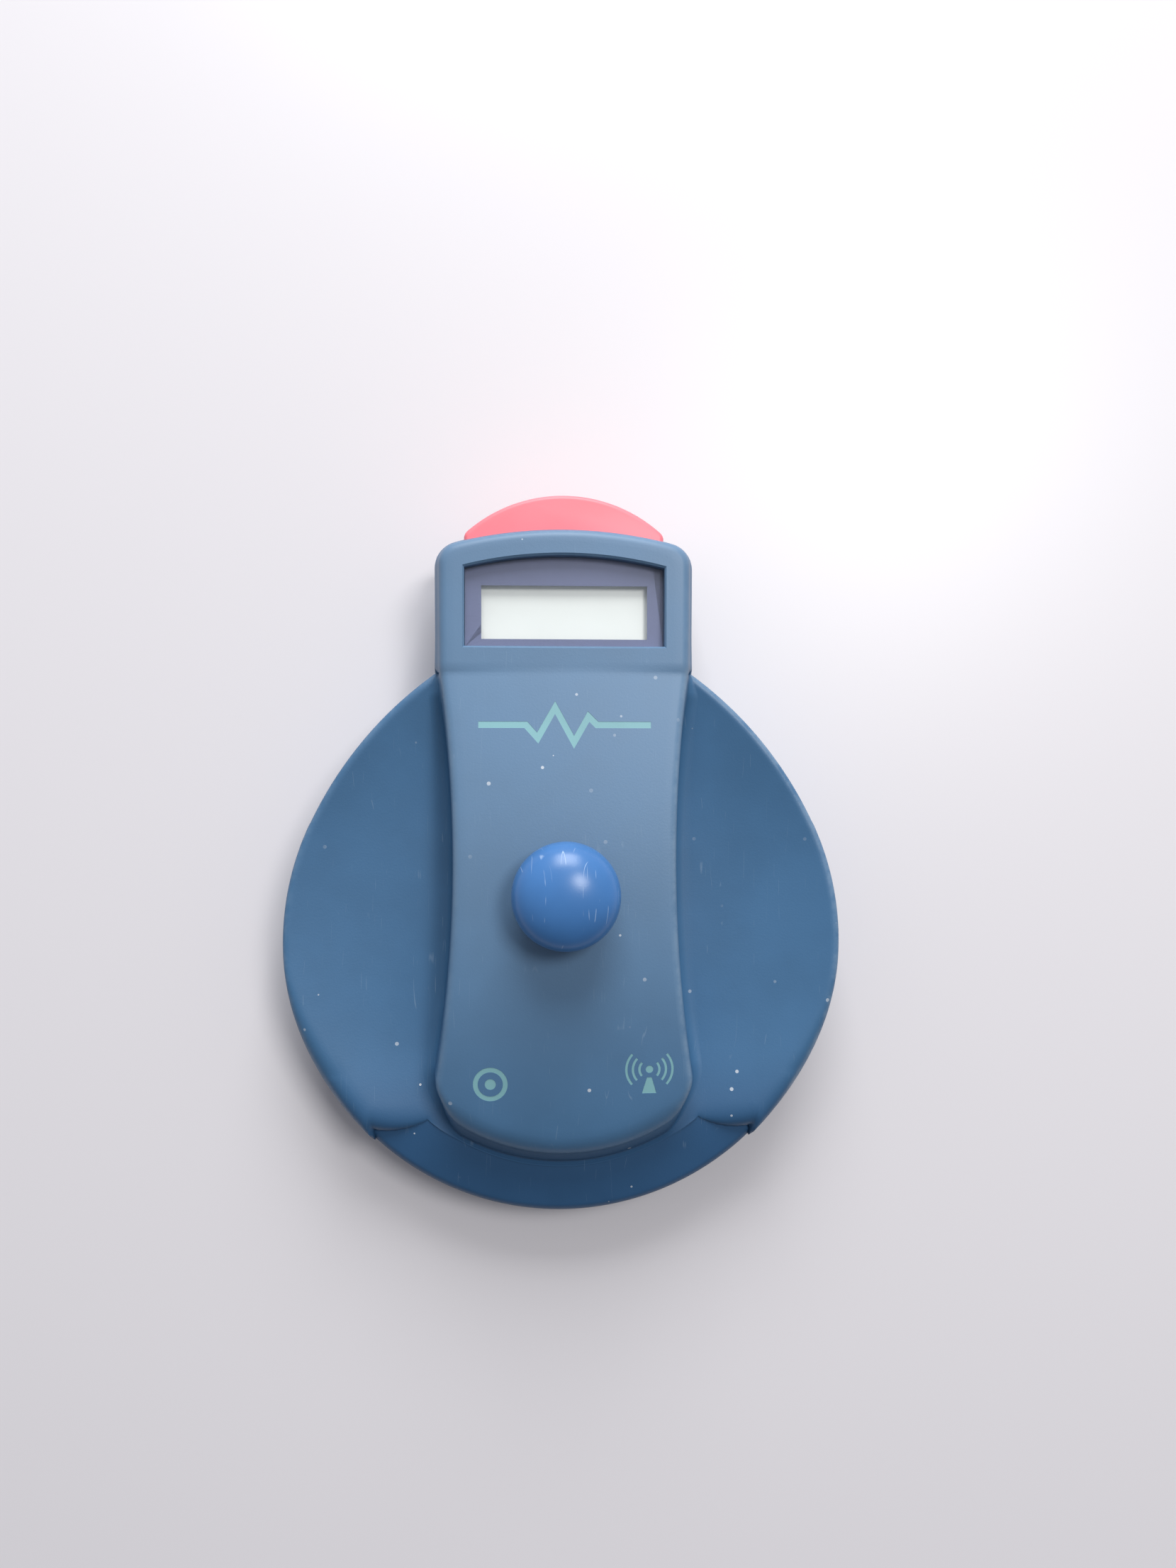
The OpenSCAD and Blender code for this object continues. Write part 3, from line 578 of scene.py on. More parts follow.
def innerPath():
    # the raised part's upper edge, right half, in four stretches from the neck's end to the saddle's
    s = shell
    neckCentre = s["neckEnd"] - s["neckEndR"]
    cornerY = neckCentre + math.sqrt(s["neckEndR"] ** 2 - s["neckTopW"] ** 2)
    inside = s["neckTopW"] - 4
    before = (inside, neckCentre + math.sqrt(s["neckEndR"] ** 2 - inside ** 2))
    corner, reach = roundCorner(before, (s["neckTopW"], cornerY), (s["neckTopW"], cornerY - 5),
                                s["neckCornerR"], 10)
    lastTurn = math.degrees(math.asin(corner[0][0] / s["neckEndR"]))
    endArc = arcPoints(0, neckCentre, s["neckEndR"], 90, 90 - lastTurn, 24)
    side = [corner[-1], (saddleHalf(s["shoulderY"]), s["shoulderY"])]
    low = s["endY"]
    y = low - 18.0
    while math.hypot(saddleHalf(y), y - low) < s["endTopR"]:
        y -= 0.02
    meet = (saddleHalf(y), y)
    nearby = math.degrees(math.atan2(meet[1] - low, meet[0])) - 9
    turn = math.radians(nearby)
    after = (s["endTopR"] * math.cos(turn), low + s["endTopR"] * math.sin(turn))
    bend, reach = roundCorner((saddleHalf(y + 4), y + 4), meet, after, s["cornerR"], 24)
    stretch = [(saddleHalf(v), v) for v in np.linspace(s["shoulderY"], bend[0][1], 100)]
    first = math.degrees(math.atan2(bend[-1][1] - low, bend[-1][0]))
    lowArc = arcPoints(0, low, s["endTopR"], first, -90, 50)
    return endArc, corner, side, stretch, bend, lowArc


def outerPath():
    # the shell's outer edge, right half, from the shoulder to the middle of the saddle's end
    s = shell
    top = math.degrees(math.atan2(s["shoulderY"] + s["flankY"], s["neckFootW"] + s["flankX"]))
    flank = arcPoints(-s["flankX"], -s["flankY"], s["flankR"], top, 25, 60)
    last = -math.degrees(math.acos(s["capHalf"] / s["bodyR"]))
    disc = arcPoints(0, 0, s["bodyR"], 25, last, 90)
    rim = flank + disc[1:]
    rise = s["padY"] - math.sqrt(s["padR"] ** 2 - (s["capHalf"] - s["padX"]) ** 2)
    notch = [rim[-1], (s["capHalf"], rise)]
    start = math.degrees(math.atan2(rise - s["padY"], s["capHalf"] - s["padX"]))
    seam = []
    turn = start
    while True:
        p = (s["padX"] + s["padR"] * math.cos(math.radians(turn)),
             s["padY"] + s["padR"] * math.sin(math.radians(turn)))
        seam.append(p)
        if math.hypot(p[0], p[1] - s["endY"]) < s["endFootR"]:
            break
        turn -= 0.5
    first = math.degrees(math.atan2(seam[-1][1] - s["endY"], seam[-1][0]))
    foot = arcPoints(0, s["endY"], s["endFootR"], first, -90, 60)
    foot[0] = seam[-1]
    return rim, notch, seam, foot


seamLine = np.array([p for q in outerPath()[1:3] for p in spread(q, 60)])
columnCounts = {"neckEnd": 22, "neckCorner": 10, "neckSide": 22, "wing": 110, "notch": 4,
                "seam": 22, "end": 44}
# distances from the outer edge, closer together where the edge rolls over
edgeRows = [0.0, 0.1, 0.22, 0.38, 0.58, 0.82, 1.1, 1.5, 2.0, 2.6, 3.3]
rowCounts = {"inner": 12, "fillet": 5, "wall": 3, "foot": 5, "wing": 26, "rim": 6, "skirt": 3}


def columnList():
    # pairs each point of the raised part's edge with its point on the outer edge
    c = columnCounts
    endArc, corner, side, stretch, bend, lowArc = innerPath()
    rim, notch, seam, foot = outerPath()
    columns = []
    neck = spread(endArc, c["neckEnd"])[:-1] + spread(corner, c["neckCorner"])[:-1]
    neck += spread(side, c["neckSide"])[:-1]
    for p in neck:
        columns.append({"a": p, "b": None, "kind": "neck", "end": 0.0, "t": 0.0})
    whole = stretch + bend[1:] + lowArc[1:]
    line = np.array(whole, float)
    run = np.concatenate([[0], np.cumsum(np.hypot(*np.diff(line, axis=0).T))])
    bendStart = run[len(stretch) - 1]
    bendEnd = run[len(stretch) + len(bend) - 2]

    def at(t):
        return (float(np.interp(t, run, line[:, 0])), float(np.interp(t, run, line[:, 1])))

    stops = [0, bendStart - 4.5, bendStart - 3.6, bendStart + (bendEnd - bendStart) * 0.55, run[-1]]
    parts = [("rim", spread(rim, c["wing"])), ("notch", spread(notch, c["notch"])),
             ("seam", spread(seam, c["seam"])), ("foot", spread(foot, c["end"]))]
    for (kind, outer), low, high in zip(parts, stops, stops[1:]):
        count = len(outer) - 1
        for i in range(count + (kind == "foot")):
            t = low + (high - low) * i / count
            end = step(0, 12, i) if kind == "foot" else 0.0
            columns.append({"a": at(t), "b": outer[i], "kind": kind, "end": end, "t": i / count})
    # outward normals from the neighbours along the raised part's edge
    pts = [col["a"] for col in columns]
    for i, col in enumerate(columns):
        before = pts[max(i - 1, 0)]
        after = pts[min(i + 1, len(pts) - 1)]
        run2 = Vector((after[0] - before[0], after[1] - before[1])).normalized()
        col["n"] = (-run2[1], run2[0])
        if i in (0, len(columns) - 1):
            col["n"] = (0.0, 1.0 if i == 0 else -1.0)
        if col["n"][0] < -1e-6:
            col["n"] = (-col["n"][0], -col["n"][1])
    for i, col in enumerate(columns):
        if col["b"] is None:
            push = shell["neckFootW"] - shell["neckTopW"]
            if col["a"][1] < shell["shoulderY"] + 6:
                w = step(shell["shoulderY"] + 6, shell["shoulderY"], col["a"][1])
                push += w * (shell["neckFootW"] - col["a"][0] - push)
            col["b"] = (col["a"][0] + col["n"][0] * push, col["a"][1] + col["n"][1] * push)
    return columns


def waypoint(col, f, b):
    # where a wing column bends, so that columns meet the outer edge squarely and never cross
    s = shell
    span = max((f - b).length, 1e-6)
    line = b.lerp(f, min(s["edgeBand"], 0.5 * span) / span)
    kind, t = col["kind"], col["t"]
    if kind == "rim":
        turn = math.degrees(math.atan2(b.y, b.x))
        back = turn + s["notchLag"] * step(-26, -46.8, turn)
        r = s["bodyR"] - s["edgeBand"]
        ring = Vector((r * math.cos(math.radians(back)), r * math.sin(math.radians(back))))
        return line.lerp(ring, step(-8, -26, turn))
    if kind in ("notch", "seam"):
        centre = Vector((s["padX"], s["padY"]))
        level = s["padR"] - s["edgeBand"]
        if kind == "notch":
            turn = math.radians(s["notchLag"] - 46.8)
            r = s["bodyR"] - s["edgeBand"]
            first = Vector((r * math.cos(turn), r * math.sin(turn)))
            last = centre + (Vector((s["capHalf"], -28.3)) - centre).normalized() * level
            return first.lerp(last, t)
        inside = centre + (b - centre).normalized() * level
        return inside.lerp(line, step(0.45, 1, t))
    return line


def columnPoints(col):
    # one column of the shell, from the spine out to the foot of the skirt
    s, rows = shell, rowCounts
    a, b, n, end = Vector(col["a"]), Vector(col["b"]), Vector(col["n"]), col["end"]
    neck = col["kind"] == "neck"
    span = max((b - a).length, 0.01)
    spine = Vector((0, min(max(a.y, s["spineLow"]), s["spineHigh"])))
    wide = s["topFillet"] + (s["endFilletW"] - s["topFillet"]) * end
    tall = s["topFillet"] + (s["endFilletH"] - s["topFillet"]) * end
    inset = a - n * (s["topFillet"] + (s["endFilletIn"] - s["topFillet"]) * end)
    out, wear = [], []
    for i in range(rows["inner"]):
        p = spine.lerp(inset, (i / rows["inner"]) ** 0.85)
        out.append((p.x, p.y, saddleTop(p.x, p.y)))
        wear.append(0.0)
    topZ = saddleTop(inset.x, inset.y)
    tilt = (saddleTop(*(inset - n * 0.5)) - topZ) * 2 * end
    for i in range(rows["fillet"] + 1):
        turn = math.pi / 2 * i / rows["fillet"]
        p = inset + n * (wide * math.sin(turn))
        out.append((p.x, p.y, topZ - tall * (1 - math.cos(turn)) - tilt * wide * math.sin(turn)))
        wear.append(math.sin(2 * turn) ** 2 * (1 - end) * (0.2 if neck else 0.6))
    wallTop = Vector(out[-1])
    draft = min(s["draft"], 0.3 * span)
    foot = min(s["footFillet"], 0.38 * span)
    f = a + n * (draft + foot)
    if neck:
        f, foot, footZ = b.copy(), 0.0, s["rimZ"] + wing["upperRise"]
    else:
        footZ = wingTop(f.x, f.y)
        seamZ = capTop(b.x, b.y) + s["capGap"]
        f = f.lerp(b.lerp(a, min(0.5 / span, 0.5)), end)
        footZ += (seamZ + 0.15 - footZ) * end
        foot += (0.7 - foot) * end
    g = f - (f - wallTop.xy).normalized() * foot
    for i in range(1, rows["wall"] + 1):
        t = i / (rows["wall"] + 1)
        p = wallTop.xy.lerp(g, t)
        out.append((p.x, p.y, wallTop.z + (footZ + foot - wallTop.z) * t))
        wear.append(0.0)
    for i in range(rows["foot"] + 1):
        turn = math.pi / 2 * i / rows["foot"]
        p = g.lerp(f, 1 - math.cos(turn))
        out.append((p.x, p.y, footZ + foot * (1 - math.sin(turn))))
        wear.append(0.0)
    near = edgeRows
    w = waypoint(col, f, b)
    count = rows["wing"] + 1 - len(near)
    path = [f.lerp(w, i / count) for i in range(1, count + 1)]
    path += [b.lerp(w, v / near[-1]) for v in near[-2::-1]]
    for i, p in enumerate(path):
        z = footZ if neck else wingTop(p.x, p.y)
        if end > 0:
            z += (footZ + (seamZ - footZ) * (i + 1) / len(path) - z) * end
        out.append((p.x, p.y, z))
        gap = (p - b).length
        wear.append(max(0.0, 1 - abs(gap - 0.35) / 0.9) * 0.8 if col["kind"] == "rim" else 0.0)
    base = out[-1]
    for i in range(1, rows["skirt"] + 1):
        t = i / rows["skirt"]
        out.append((b.x, b.y, base[2] + (s["partZ"] - base[2]) * t))
        wear.append(0.0)
    return out, wear


def gridSheet(name, columns, wears=None):
    # joins columns of points, right half first, then the same mirrored to the left
    rows = len(columns[0])
    points, faces, wear = [], [], []
    for side in (1, -1):
        base = len(points)
        for c, col in enumerate(columns):
            for k, p in enumerate(col):
                points.append((p[0] * mm * side, p[1] * mm, p[2] * mm))
                wear.append(wears[c][k] * (1 if side == 1 else shell["leftWear"]) if wears else 0.0)
        for c in range(len(columns) - 1):
            for k in range(rows - 1):
                quad = [base + c * rows + k, base + c * rows + k + 1,
                        base + (c + 1) * rows + k + 1, base + (c + 1) * rows + k]
                faces.append(quad if side == 1 else quad[::-1])
    obj = meshFrom(name, points, faces)
    attribute = obj.data.attributes.new("wear", "FLOAT", "POINT")
    attribute.data.foreach_set("value", wear)
    return obj


windowCut = {"play": 0.05 * mm, "archR": 60 * mm, "steps": 24, "leadIn": 0.35 * mm, "over": 2 * mm}


def makeWindowCutter():
    # the display opening with a small lead-in around its upper edge
    low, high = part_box("window")
    bpy.ops.mesh.primitive_plane_add(size=1, location=(0, 0, 0))
    cutter = bpy.context.object
    c = windowCut
    play, arch, lead = c["play"], c["archR"], c["leadIn"]
    half = high.x + play
    outline = [(-half, low.y - play), (half, low.y - play)]
    for i in range(c["steps"] + 1):
        x = half - 2 * half * i / c["steps"]
        outline.append((x, high.y + play - arch + math.sqrt(arch ** 2 - x * x)))
    bm = bmesh.new()
    rings = []
    top = shell["neckZ"] * mm
    levels = [(shell["blindZ"] * mm, 0), (top - lead, 0), (top + play, lead), (top + c["over"], lead)]
    for z, grow in levels:
        centre = Vector((0, (low.y + high.y) / 2))
        ring = []
        for x, y in outline:
            d = Vector((x, y)) - centre
            ring.append(bm.verts.new((x + grow * math.copysign(1, d.x) * min(1, abs(d.x) / (0.9 * half)),
                                      y + grow * math.copysign(1, d.y), z)))
        rings.append(ring)
    bm.faces.new(rings[0][::-1])
    bm.faces.new(rings[-1])
    for lower, upper in zip(rings, rings[1:]):
        for i in range(len(outline)):
            j = (i + 1) % len(outline)
            bm.faces.new((lower[i], lower[j], upper[j], upper[i]))
    bmesh.ops.recalc_face_normals(bm, faces=bm.faces)
    bm.to_mesh(cutter.data)
    bm.free()
    return cutter


def cutWith(obj, cutter):
    useModifier(obj, "BOOLEAN", operation="DIFFERENCE", solver="EXACT", object=cutter)
    bpy.data.objects.remove(cutter, do_unlink=True)


marks = {
    "depth": 0.1, "inset": 0.04, "lineW": 0.95, "arcW": 0.36,
    "pulseY": 32, "target": (-10.7, -19.6), "ringR": 2.15, "ringW": 0.7, "dotR": 0.8,
    "signal": (12.2, -17.9), "sourceUp": 0.3, "sourceR": 0.55, "arcs": (1.45, 2.4, 3.35), "arcTurn": 42,
    "tower": [(-0.9, 0.7), (-1.6, 1.1), (-2.4, 1.6), (-3.3, 2.1)],
}
pulseLine = [(-12.4, 0), (-5.6, 0), (-3.9, -1.9), (-1.4, 2.5),
             (1.3, -2.5), (3.4, 1.2), (4.6, 0), (12.4, 0)]


def ribbon(points, widths, closed=False):
    # a strip of even or changing width along a centre line, as pairs of side points
    pairs = []
    count = len(points)
    for i, (x, y) in enumerate(points):
        before = points[(i - 1) % count] if closed or i else points[i]
        after = points[(i + 1) % count] if closed or i < count - 1 else points[i]
        if before != (x, y) and after != (x, y):
            a = Vector((x - before[0], y - before[1])).normalized()
            b = Vector((after[0] - x, after[1] - y)).normalized()
            along = (a + b).normalized()
            stretch = 1 / max(along.dot(a), 0.5)
        else:
            along = Vector((after[0] - before[0], after[1] - before[1])).normalized()
            stretch = 1.0
        half = (widths[i] if isinstance(widths, list) else widths) / 2 * stretch
        sideX, sideY = along.y * half, along.x * half
        pairs.append(((x - sideX, y + sideY), (x + sideX, y - sideY)))
    return pairs, closed


def ribbonSolid(name, strips, low, high):
    points, faces = [], []
    for pairs, closed in strips:
        base = len(points)
        for left, right in pairs:
            for (x, y), lift in ((left, low), (right, low), (right, high), (left, high)):
                points.append((x * mm, y * mm, (saddleTop(x, y) + lift) * mm))
        last = len(pairs)
        for i in range(last if closed else last - 1):
            j = (i + 1) % last
            for k in range(4):
                n = (k + 1) % 4
                faces.append([base + i * 4 + k, base + j * 4 + k, base + j * 4 + n, base + i * 4 + n])
        if not closed:
            faces.append([base + k for k in range(4)])
            faces.append([base + (last - 1) * 4 + k for k in (3, 2, 1, 0)])
    solid = meshFrom(name, points, faces)
    cleanUp(solid, 0.001 * mm)
    return solid


def denser(strip, gap=0.7):
    # more pairs between the corners, so that a long strip follows the arch
    pairs, closed = strip
    out = []
    for (a, b), (c, d) in zip(pairs, pairs[1:]):
        count = max(1, int(math.dist(a, c) / gap))
        out += [(mix(a, c, i / count), mix(b, d, i / count)) for i in range(count)]
    return out + [pairs[-1]], closed


def disc(cx, cy, r):
    turns = np.radians(np.linspace(-85, 85, 17))
    return ribbon([(cx + r * math.sin(t), cy) for t in turns], [2 * r * math.cos(t) for t in turns])


def pulseStrips():
    return [denser(ribbon([(x, y + marks["pulseY"]) for x, y in pulseLine], marks["lineW"]))]


def targetStrips():
    x, y = marks["target"]
    ring = arcPoints(x, y, marks["ringR"], 0, 360, 48)[:-1]
    return [ribbon(ring, marks["ringW"], True), disc(x, y, marks["dotR"])]


def signalStrips():
    x, y = marks["signal"]
    source, turn = y + marks["sourceUp"], marks["arcTurn"]
    strips = [disc(x, source, marks["sourceR"])]
    for r in marks["arcs"]:
        for middle in (0, 180):
            arc = arcPoints(x, source, r, middle - turn, middle + turn, 14)
            strips.append(ribbon(arc, marks["arcW"]))
    strips.append(ribbon([(x, y + down) for down, width in marks["tower"]],
                         [width for down, width in marks["tower"]]))
    return strips


markStrips = {"pulse_mark": pulseStrips(), "target_mark": targetStrips(), "signal_mark": signalStrips()}


def makeMarks(cover):
    for node, strips in markStrips.items():
        for strip in strips:
            cutWith(cover, ribbonSolid("markCut", [strip], -marks["depth"], 1.0))
        inlay = ribbonSolid(node.replace("_", "") + "Inlay", strips,
                            -marks["depth"] - 0.02, -marks["inset"])
        finishPiece(inlay, "housing", markTeal, [node])


def openBottom(cover):
    # takes away the lower face and the blind ends of the two holes, so that a wall can be given
    low = shell["partZ"] * mm
    blind = shell["blindZ"] * mm
    pick(cover)
    selectFaces(cover, lambda f: f.normal.z < -0.99 and abs(f.center.z - low) < 1e-6
                or f.normal.z > 0.99 and abs(f.center.z - blind) < 1e-6)
    bpy.ops.mesh.delete(type="FACE")
    bpy.ops.object.mode_set(mode="OBJECT")


def thinTips(cover):
    # the wall thins out towards the sharp tips beside the rim cap's notches
    tip = outerPath()[0][-1]
    wall = cover.vertex_groups.new(name="wall")
    for v in cover.data.vertices:
        away = math.hypot(abs(v.co.x) / mm - tip[0], v.co.y / mm - tip[1])
        share = (away - shell["tipThin"]) / shell["tipReach"]
        wall.add([v.index], min(max(share, shell["tipWall"]), 1), "REPLACE")


def trimTips(cover):
    # nothing of the wall's inner side may show past the round outline at the tips
    edge = shell["bodyR"] * mm
    for v in cover.data.vertices:
        away = math.hypot(v.co.x, v.co.y)
        if v.co.y < shell["tipY"] * mm and away > edge:
            v.co.x *= edge / away
            v.co.y *= edge / away


def makeTopCover():
    built = [columnPoints(col) for col in columnList()]
    cover = gridSheet("topCover", [b[0] for b in built], [b[1] for b in built])
    closeOpenings(cover)
    cutWith(cover, makeWindowCutter())
    low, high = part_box("guide_sleeve")
    middle = (low + high) / 2
    deep = shell["buttonHoleDepth"]
    bpy.ops.mesh.primitive_cylinder_add(vertices=96, radius=shell["buttonHoleR"] * mm, depth=deep * mm,
                                        location=(middle.x, middle.y, (shell["blindZ"] + deep / 2) * mm))
    cutWith(cover, bpy.context.object)
    makeMarks(cover)
    openBottom(cover)
    thinTips(cover)
    useModifier(cover, "SOLIDIFY", thickness=shell["thickness"] * mm, offset=-1, use_even_offset=False,
                vertex_group="wall", thickness_vertex_group=0.0)
    trimTips(cover)
    smooth(cover, 38)
    return finishPiece(cover, "housing", shellBlue, ["top_cover"])


topCover = makeTopCover()
print("top cover made:", len(topCover.data.polygons), "faces")


# the rim cap is a crescent spun from its cross-section, then trimmed to its seams
rimCap = {"innerR": 30.6, "lowZ": 4.12, "edgeR": 7.0, "gap": 0.04, "wall": 1.8, "steps": 150,
          "from": 150, "turn": -120, "trimY": -50, "trimZ": 20}


def edgeLoop(name, points, closed=False):
    # a wire through the points, ready to be spun
    obj = meshFrom(name, [tuple(v * mm for v in p) for p in points], [])
    bm = bmesh.new()
    bm.from_mesh(obj.data)
    bm.verts.ensure_lookup_table()
    count = len(points)
    for i in range(count if closed else count - 1):
        bm.edges.new((bm.verts[i], bm.verts[(i + 1) % count]))
    bm.to_mesh(obj.data)
    bm.free()
    pick(obj)
    bpy.ops.object.mode_set(mode="EDIT")
    bpy.ops.mesh.select_all(action="SELECT")
    return obj


def capProfile():
    # the crescent's cross-section: the face, the roll, the body's lower edge, and back along the inside
    c = rimCap
    r, roll, wall = shell["bodyR"], shell["capRoll"], c["wall"]
    rolled = [r - roll * (1 - math.sin(t)) for t in np.linspace(0, math.pi / 2, 14)]
    points = [(x, 0, capTop(x, 0)) for x in list(np.linspace(c["innerR"], r - roll, 24))[:-1] + rolled]
    low = math.degrees(math.asin((shell["partZ"] - c["lowZ"]) / c["edgeR"]))
    centre = r - c["edgeR"]
    points += [(x, 0, z) for x, z in arcPoints(centre, shell["partZ"], c["edgeR"], 0, -low, 14)[1:]]
    points += [(x, 0, z) for x, z in arcPoints(centre, shell["partZ"], c["edgeR"] - wall, -low, 0, 8)]
    return points + [(c["innerR"], 0, capTop(c["innerR"], 0) - wall)]


def makeRimCap():
    c = rimCap
    cap = edgeLoop("rimCap", capProfile(), closed=True)
    bpy.ops.transform.rotate(value=math.radians(c["from"]), orient_axis="Z", center_override=(0, 0, 0))
    bpy.ops.mesh.spin(steps=c["steps"], angle=math.radians(c["turn"]), center=(0, 0, 0), axis=(0, 0, 1))
    bpy.ops.object.mode_set(mode="OBJECT")
    pick(cap)
    bpy.ops.object.mode_set(mode="EDIT")
    bpy.ops.mesh.select_all(action="SELECT")
    bpy.ops.mesh.remove_doubles(threshold=0.002 * mm)
    bpy.ops.mesh.fill_holes(sides=0)
    bpy.ops.mesh.select_all(action="SELECT")
    bpy.ops.mesh.normals_make_consistent(inside=False)
    bpy.ops.object.mode_set(mode="OBJECT")
    rim, notch, seam, foot = outerPath()
    right = notch + seam[1:] + foot[1:]
    outline = right + [(-x, y) for x, y in right[-2::-1]]
    outline += [(-shell["capHalf"], c["trimY"]), (shell["capHalf"], c["trimY"])]
    count = len(outline)
    base = [(x * mm, (y - c["gap"]) * mm, 0) for x, y in outline]
    trim = meshFrom("capTrim", base + [(x, y, c["trimZ"] * mm) for x, y, z in base],
                    [list(range(count))[::-1], list(range(count, 2 * count))]
                    + [[i, (i + 1) % count, count + (i + 1) % count, count + i] for i in range(count)])
    cleanUp(trim)
    useModifier(cap, "BOOLEAN", operation="INTERSECT", solver="EXACT", object=trim)
    bpy.data.objects.remove(trim, do_unlink=True)
    smooth(cap, 35)
    print("rim cap trimmed:", len(cap.data.polygons), "faces")
    return finishPiece(cap, "housing", capShadedBlue, ["rim_cap"])


makeRimCap()
print("rim cap made")


# the end cap is a bowed block with soft corners
endCap = {"bevel": 1.1, "side": 1.1, "fit": 0.4, "rootIn": 3.5, "backIn": 3, "backTurn": 12}


def makeEndCap():
    c = endCap
    low, high = [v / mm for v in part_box("end_cap")]
    half = high.x
    neckCentre = shell["neckEnd"] - shell["neckEndR"]
    rootY = neckCentre + math.sqrt((shell["neckEndR"] + c["fit"]) ** 2 - half ** 2)
    rise = high.y - rootY - c["side"]
    r = (half ** 2 + rise ** 2) / (2 * rise)
    turn = math.degrees(math.asin(half / r))
    bow = arcPoints(0, high.y - r, r, 90 - turn, 90 + turn, 48)
    backY = rootY - c["rootIn"]
    outline = [(half - 0.02, backY)] + bow + [(-half + 0.02, backY)]
    outline += arcPoints(0, neckCentre, shell["neckEndR"] - c["backIn"],
                         90 + c["backTurn"], 90 - c["backTurn"], 16)
    verts = [(x * mm, y * mm, low.z * mm) for x, y in outline]
    cap = meshFrom("endCap", verts, [list(range(len(verts)))[::-1]])
    pick(cap)
    bpy.ops.object.mode_set(mode="EDIT")
    bpy.ops.mesh.select_all(action="SELECT")
    bpy.ops.mesh.extrude_region_move(TRANSFORM_OT_translate={"value": (0, 0, (high.z - low.z) * mm)})
    bpy.ops.mesh.select_all(action="SELECT")
    bpy.ops.mesh.normals_make_consistent(inside=False)
    bpy.ops.object.mode_set(mode="OBJECT")
    weights = cap.data.attributes.new("bevel_weight_edge", "FLOAT", "EDGE")
    for edge in cap.data.edges:
        a, b = [cap.data.vertices[i].co for i in edge.vertices]
        upright = abs(a.z - b.z) > 1 * mm
        corner = upright and abs(abs(a.x) / mm - half) < 0.3 and a.y / mm > rootY - 0.5
        front = not upright and min(a.y, b.y) / mm > backY - 0.1
        weights.data[edge.index].value = 1.0 if corner or front else 0.0
    useModifier(cap, "BEVEL", width=c["bevel"] * mm, segments=6, limit_method="WEIGHT")
    cleanUp(cap)
    smooth(cap, 50)
    return finishPiece(cap, "housing", capCoral, ["end_cap"])


makeEndCap()
print("end cap made")


knob = {"lip": 1.5, "crown": 0.85, "steps": 96, "socketR": 3.1, "socketDepth": 1.6}


def makeKnob():
    low, high = [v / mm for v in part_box("button_head")]
    r = high.x
    centreY = (low.y + high.y) / 2
    lip = knob["lip"]
    tall = high.z - low.z - lip
    rise = [(r - lip * (1 - math.cos(t)), low.z + lip * (1 - math.sin(t)))
            for t in np.radians(np.linspace(90, 0, 9))]
    dome = [(r * math.cos(t), low.z + lip + tall * math.sin(t) ** knob["crown"])
            for t in np.radians(np.linspace(3, 90, 34))]
    under = [(knob["socketR"], low.z + knob["socketDepth"]), (knob["socketR"], low.z)]
    line = under + rise + dome
    head = edgeLoop("knob", [(max(x, 0), centreY, z) for x, z in line])
    bpy.ops.mesh.spin(steps=knob["steps"], angle=2 * math.pi, center=(0, centreY * mm, 0), axis=(0, 0, 1))
    bpy.ops.object.mode_set(mode="OBJECT")
    closeOpenings(head, 0.01 * mm)
    smooth(head, 40)
    return finishPiece(head, "button", knobBlue, ["button_head"])


makeKnob()
print("knob made")

# materials for the pieces carried over from the CAD
partMaterials = [
    (shellBlue, ["base_cover"]), (plateGrey, ["sound_plate"]),
    (inner["sleeveGrey"], ["guide_sleeve"]),
    (windowGlass, ["window"]), (borderGrey, ["window_border"]), (displayGrey, ["display_glass"]),
    (rubberBlack, ["case_seal", "plate_seal", "button_seal", "battery_pad", "contact_strips"]),
    (steel, ["case_screws", "board_screws", "display_screws",
             "button_stem", "button_spring", "button_clip"]),
    (tinnedSteel, ["shield_can"]), (goldPlate, ["charge_contacts"]),
    (inner["boardGreen"], ["contact_board", "aerial", "main_board", "display_board"]),
    (inner["blackPlastic"], ["aerial_lead", "chips", "display_frame", "switch_body"]),
    (inner["whitePlastic"], ["crystal_holder", "battery_tray", "battery_plug", "switch_plunger"]),
    (inner["crystalTan"], ["crystal_discs"]),
    (inner["wireRed"], ["crystal_leads", "battery_leads"]),
    (inner["cellWrap"], ["battery"]), (inner["ribbonAmber"], ["ribbon_cable"]),
]
for mat, names in partMaterials:
    for name in names:
        nodes[name].data.materials.clear()
        nodes[name].data.materials.append(mat)


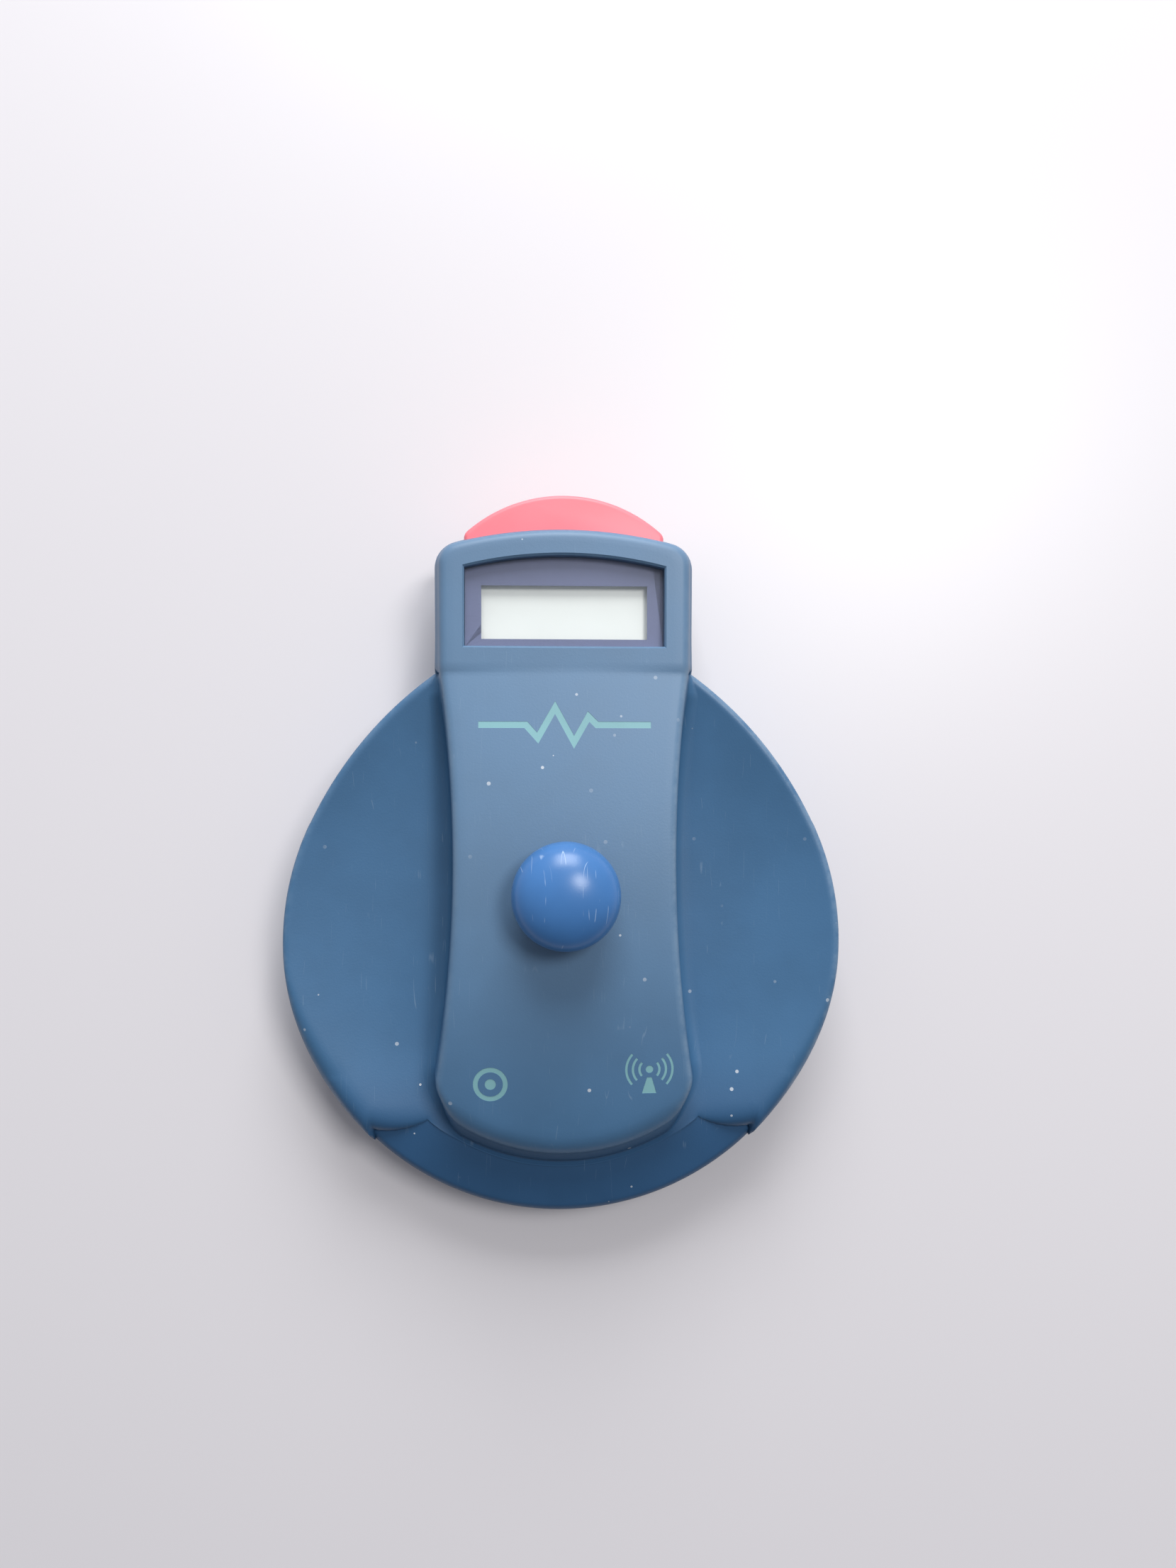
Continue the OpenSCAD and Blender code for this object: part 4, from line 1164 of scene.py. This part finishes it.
# floor, two soft area lights and a sky that darkens towards the near side
studio = {
    "floor": colour(225, 222, 225), "floorRough": 0.35, "size": 1.6, "target": (0, 0.01, 0),
    "skyNear": 0.08, "skyFar": 0.6, "skyRange": (-0.8, 0.9), "skyColour": (0.92, 0.93, 1.0, 1),
}
lights = {
    "ceilingLight": {"place": (0.3, 0.3, 0.85), "size": 0.26, "power": 3.4, "tint": (1.0, 0.99, 0.98)},
    "windowLight": {"place": (0.02, 0.62, 0.37), "size": 0.38, "power": 4.4, "tint": (0.98, 0.99, 1.0)},
}


def makeFloor():
    bpy.ops.mesh.primitive_plane_add(size=studio["size"], location=(0, 0, 0))
    floor = bpy.context.object
    floor.name = "floor"
    mat = bpy.data.materials.new("floorPale")
    mat.use_nodes = True
    shader = mat.node_tree.nodes["Principled BSDF"]
    shader.inputs["Base Color"].default_value = studio["floor"]
    shader.inputs["Roughness"].default_value = studio["floorRough"]
    floor.data.materials.append(mat)


def addLight(name, place, size, power, tint):
    bpy.ops.object.light_add(type="AREA", location=place)
    light = bpy.context.object
    light.name = name
    light.data.size = size
    light.data.energy = power
    light.data.color = tint
    light.rotation_mode = "QUATERNION"
    light.rotation_quaternion = (Vector(studio["target"]) - Vector(place)).to_track_quat("-Z", "Y")


makeFloor()
for name, values in lights.items():
    addLight(name, **values)
world = bpy.data.worlds.new("softRoom")
world.use_nodes = True
sky = world.node_tree
facing = sky.nodes.new("ShaderNodeSeparateXYZ")
sky.links.new(sky.nodes.new("ShaderNodeTexCoord").outputs["Generated"], facing.inputs[0])
glow = sky.nodes.new("ShaderNodeMapRange")
glow.inputs["From Min"].default_value, glow.inputs["From Max"].default_value = studio["skyRange"]
glow.inputs["To Min"].default_value = studio["skyNear"]
glow.inputs["To Max"].default_value = studio["skyFar"]
sky.links.new(facing.outputs["Y"], glow.inputs["Value"])
sky.links.new(glow.outputs["Result"], sky.nodes["Background"].inputs["Strength"])
sky.nodes["Background"].inputs["Color"].default_value = studio["skyColour"]
bpy.context.scene.world = world
bpy.context.scene.view_settings.view_transform = "Standard"
print("stage lit")
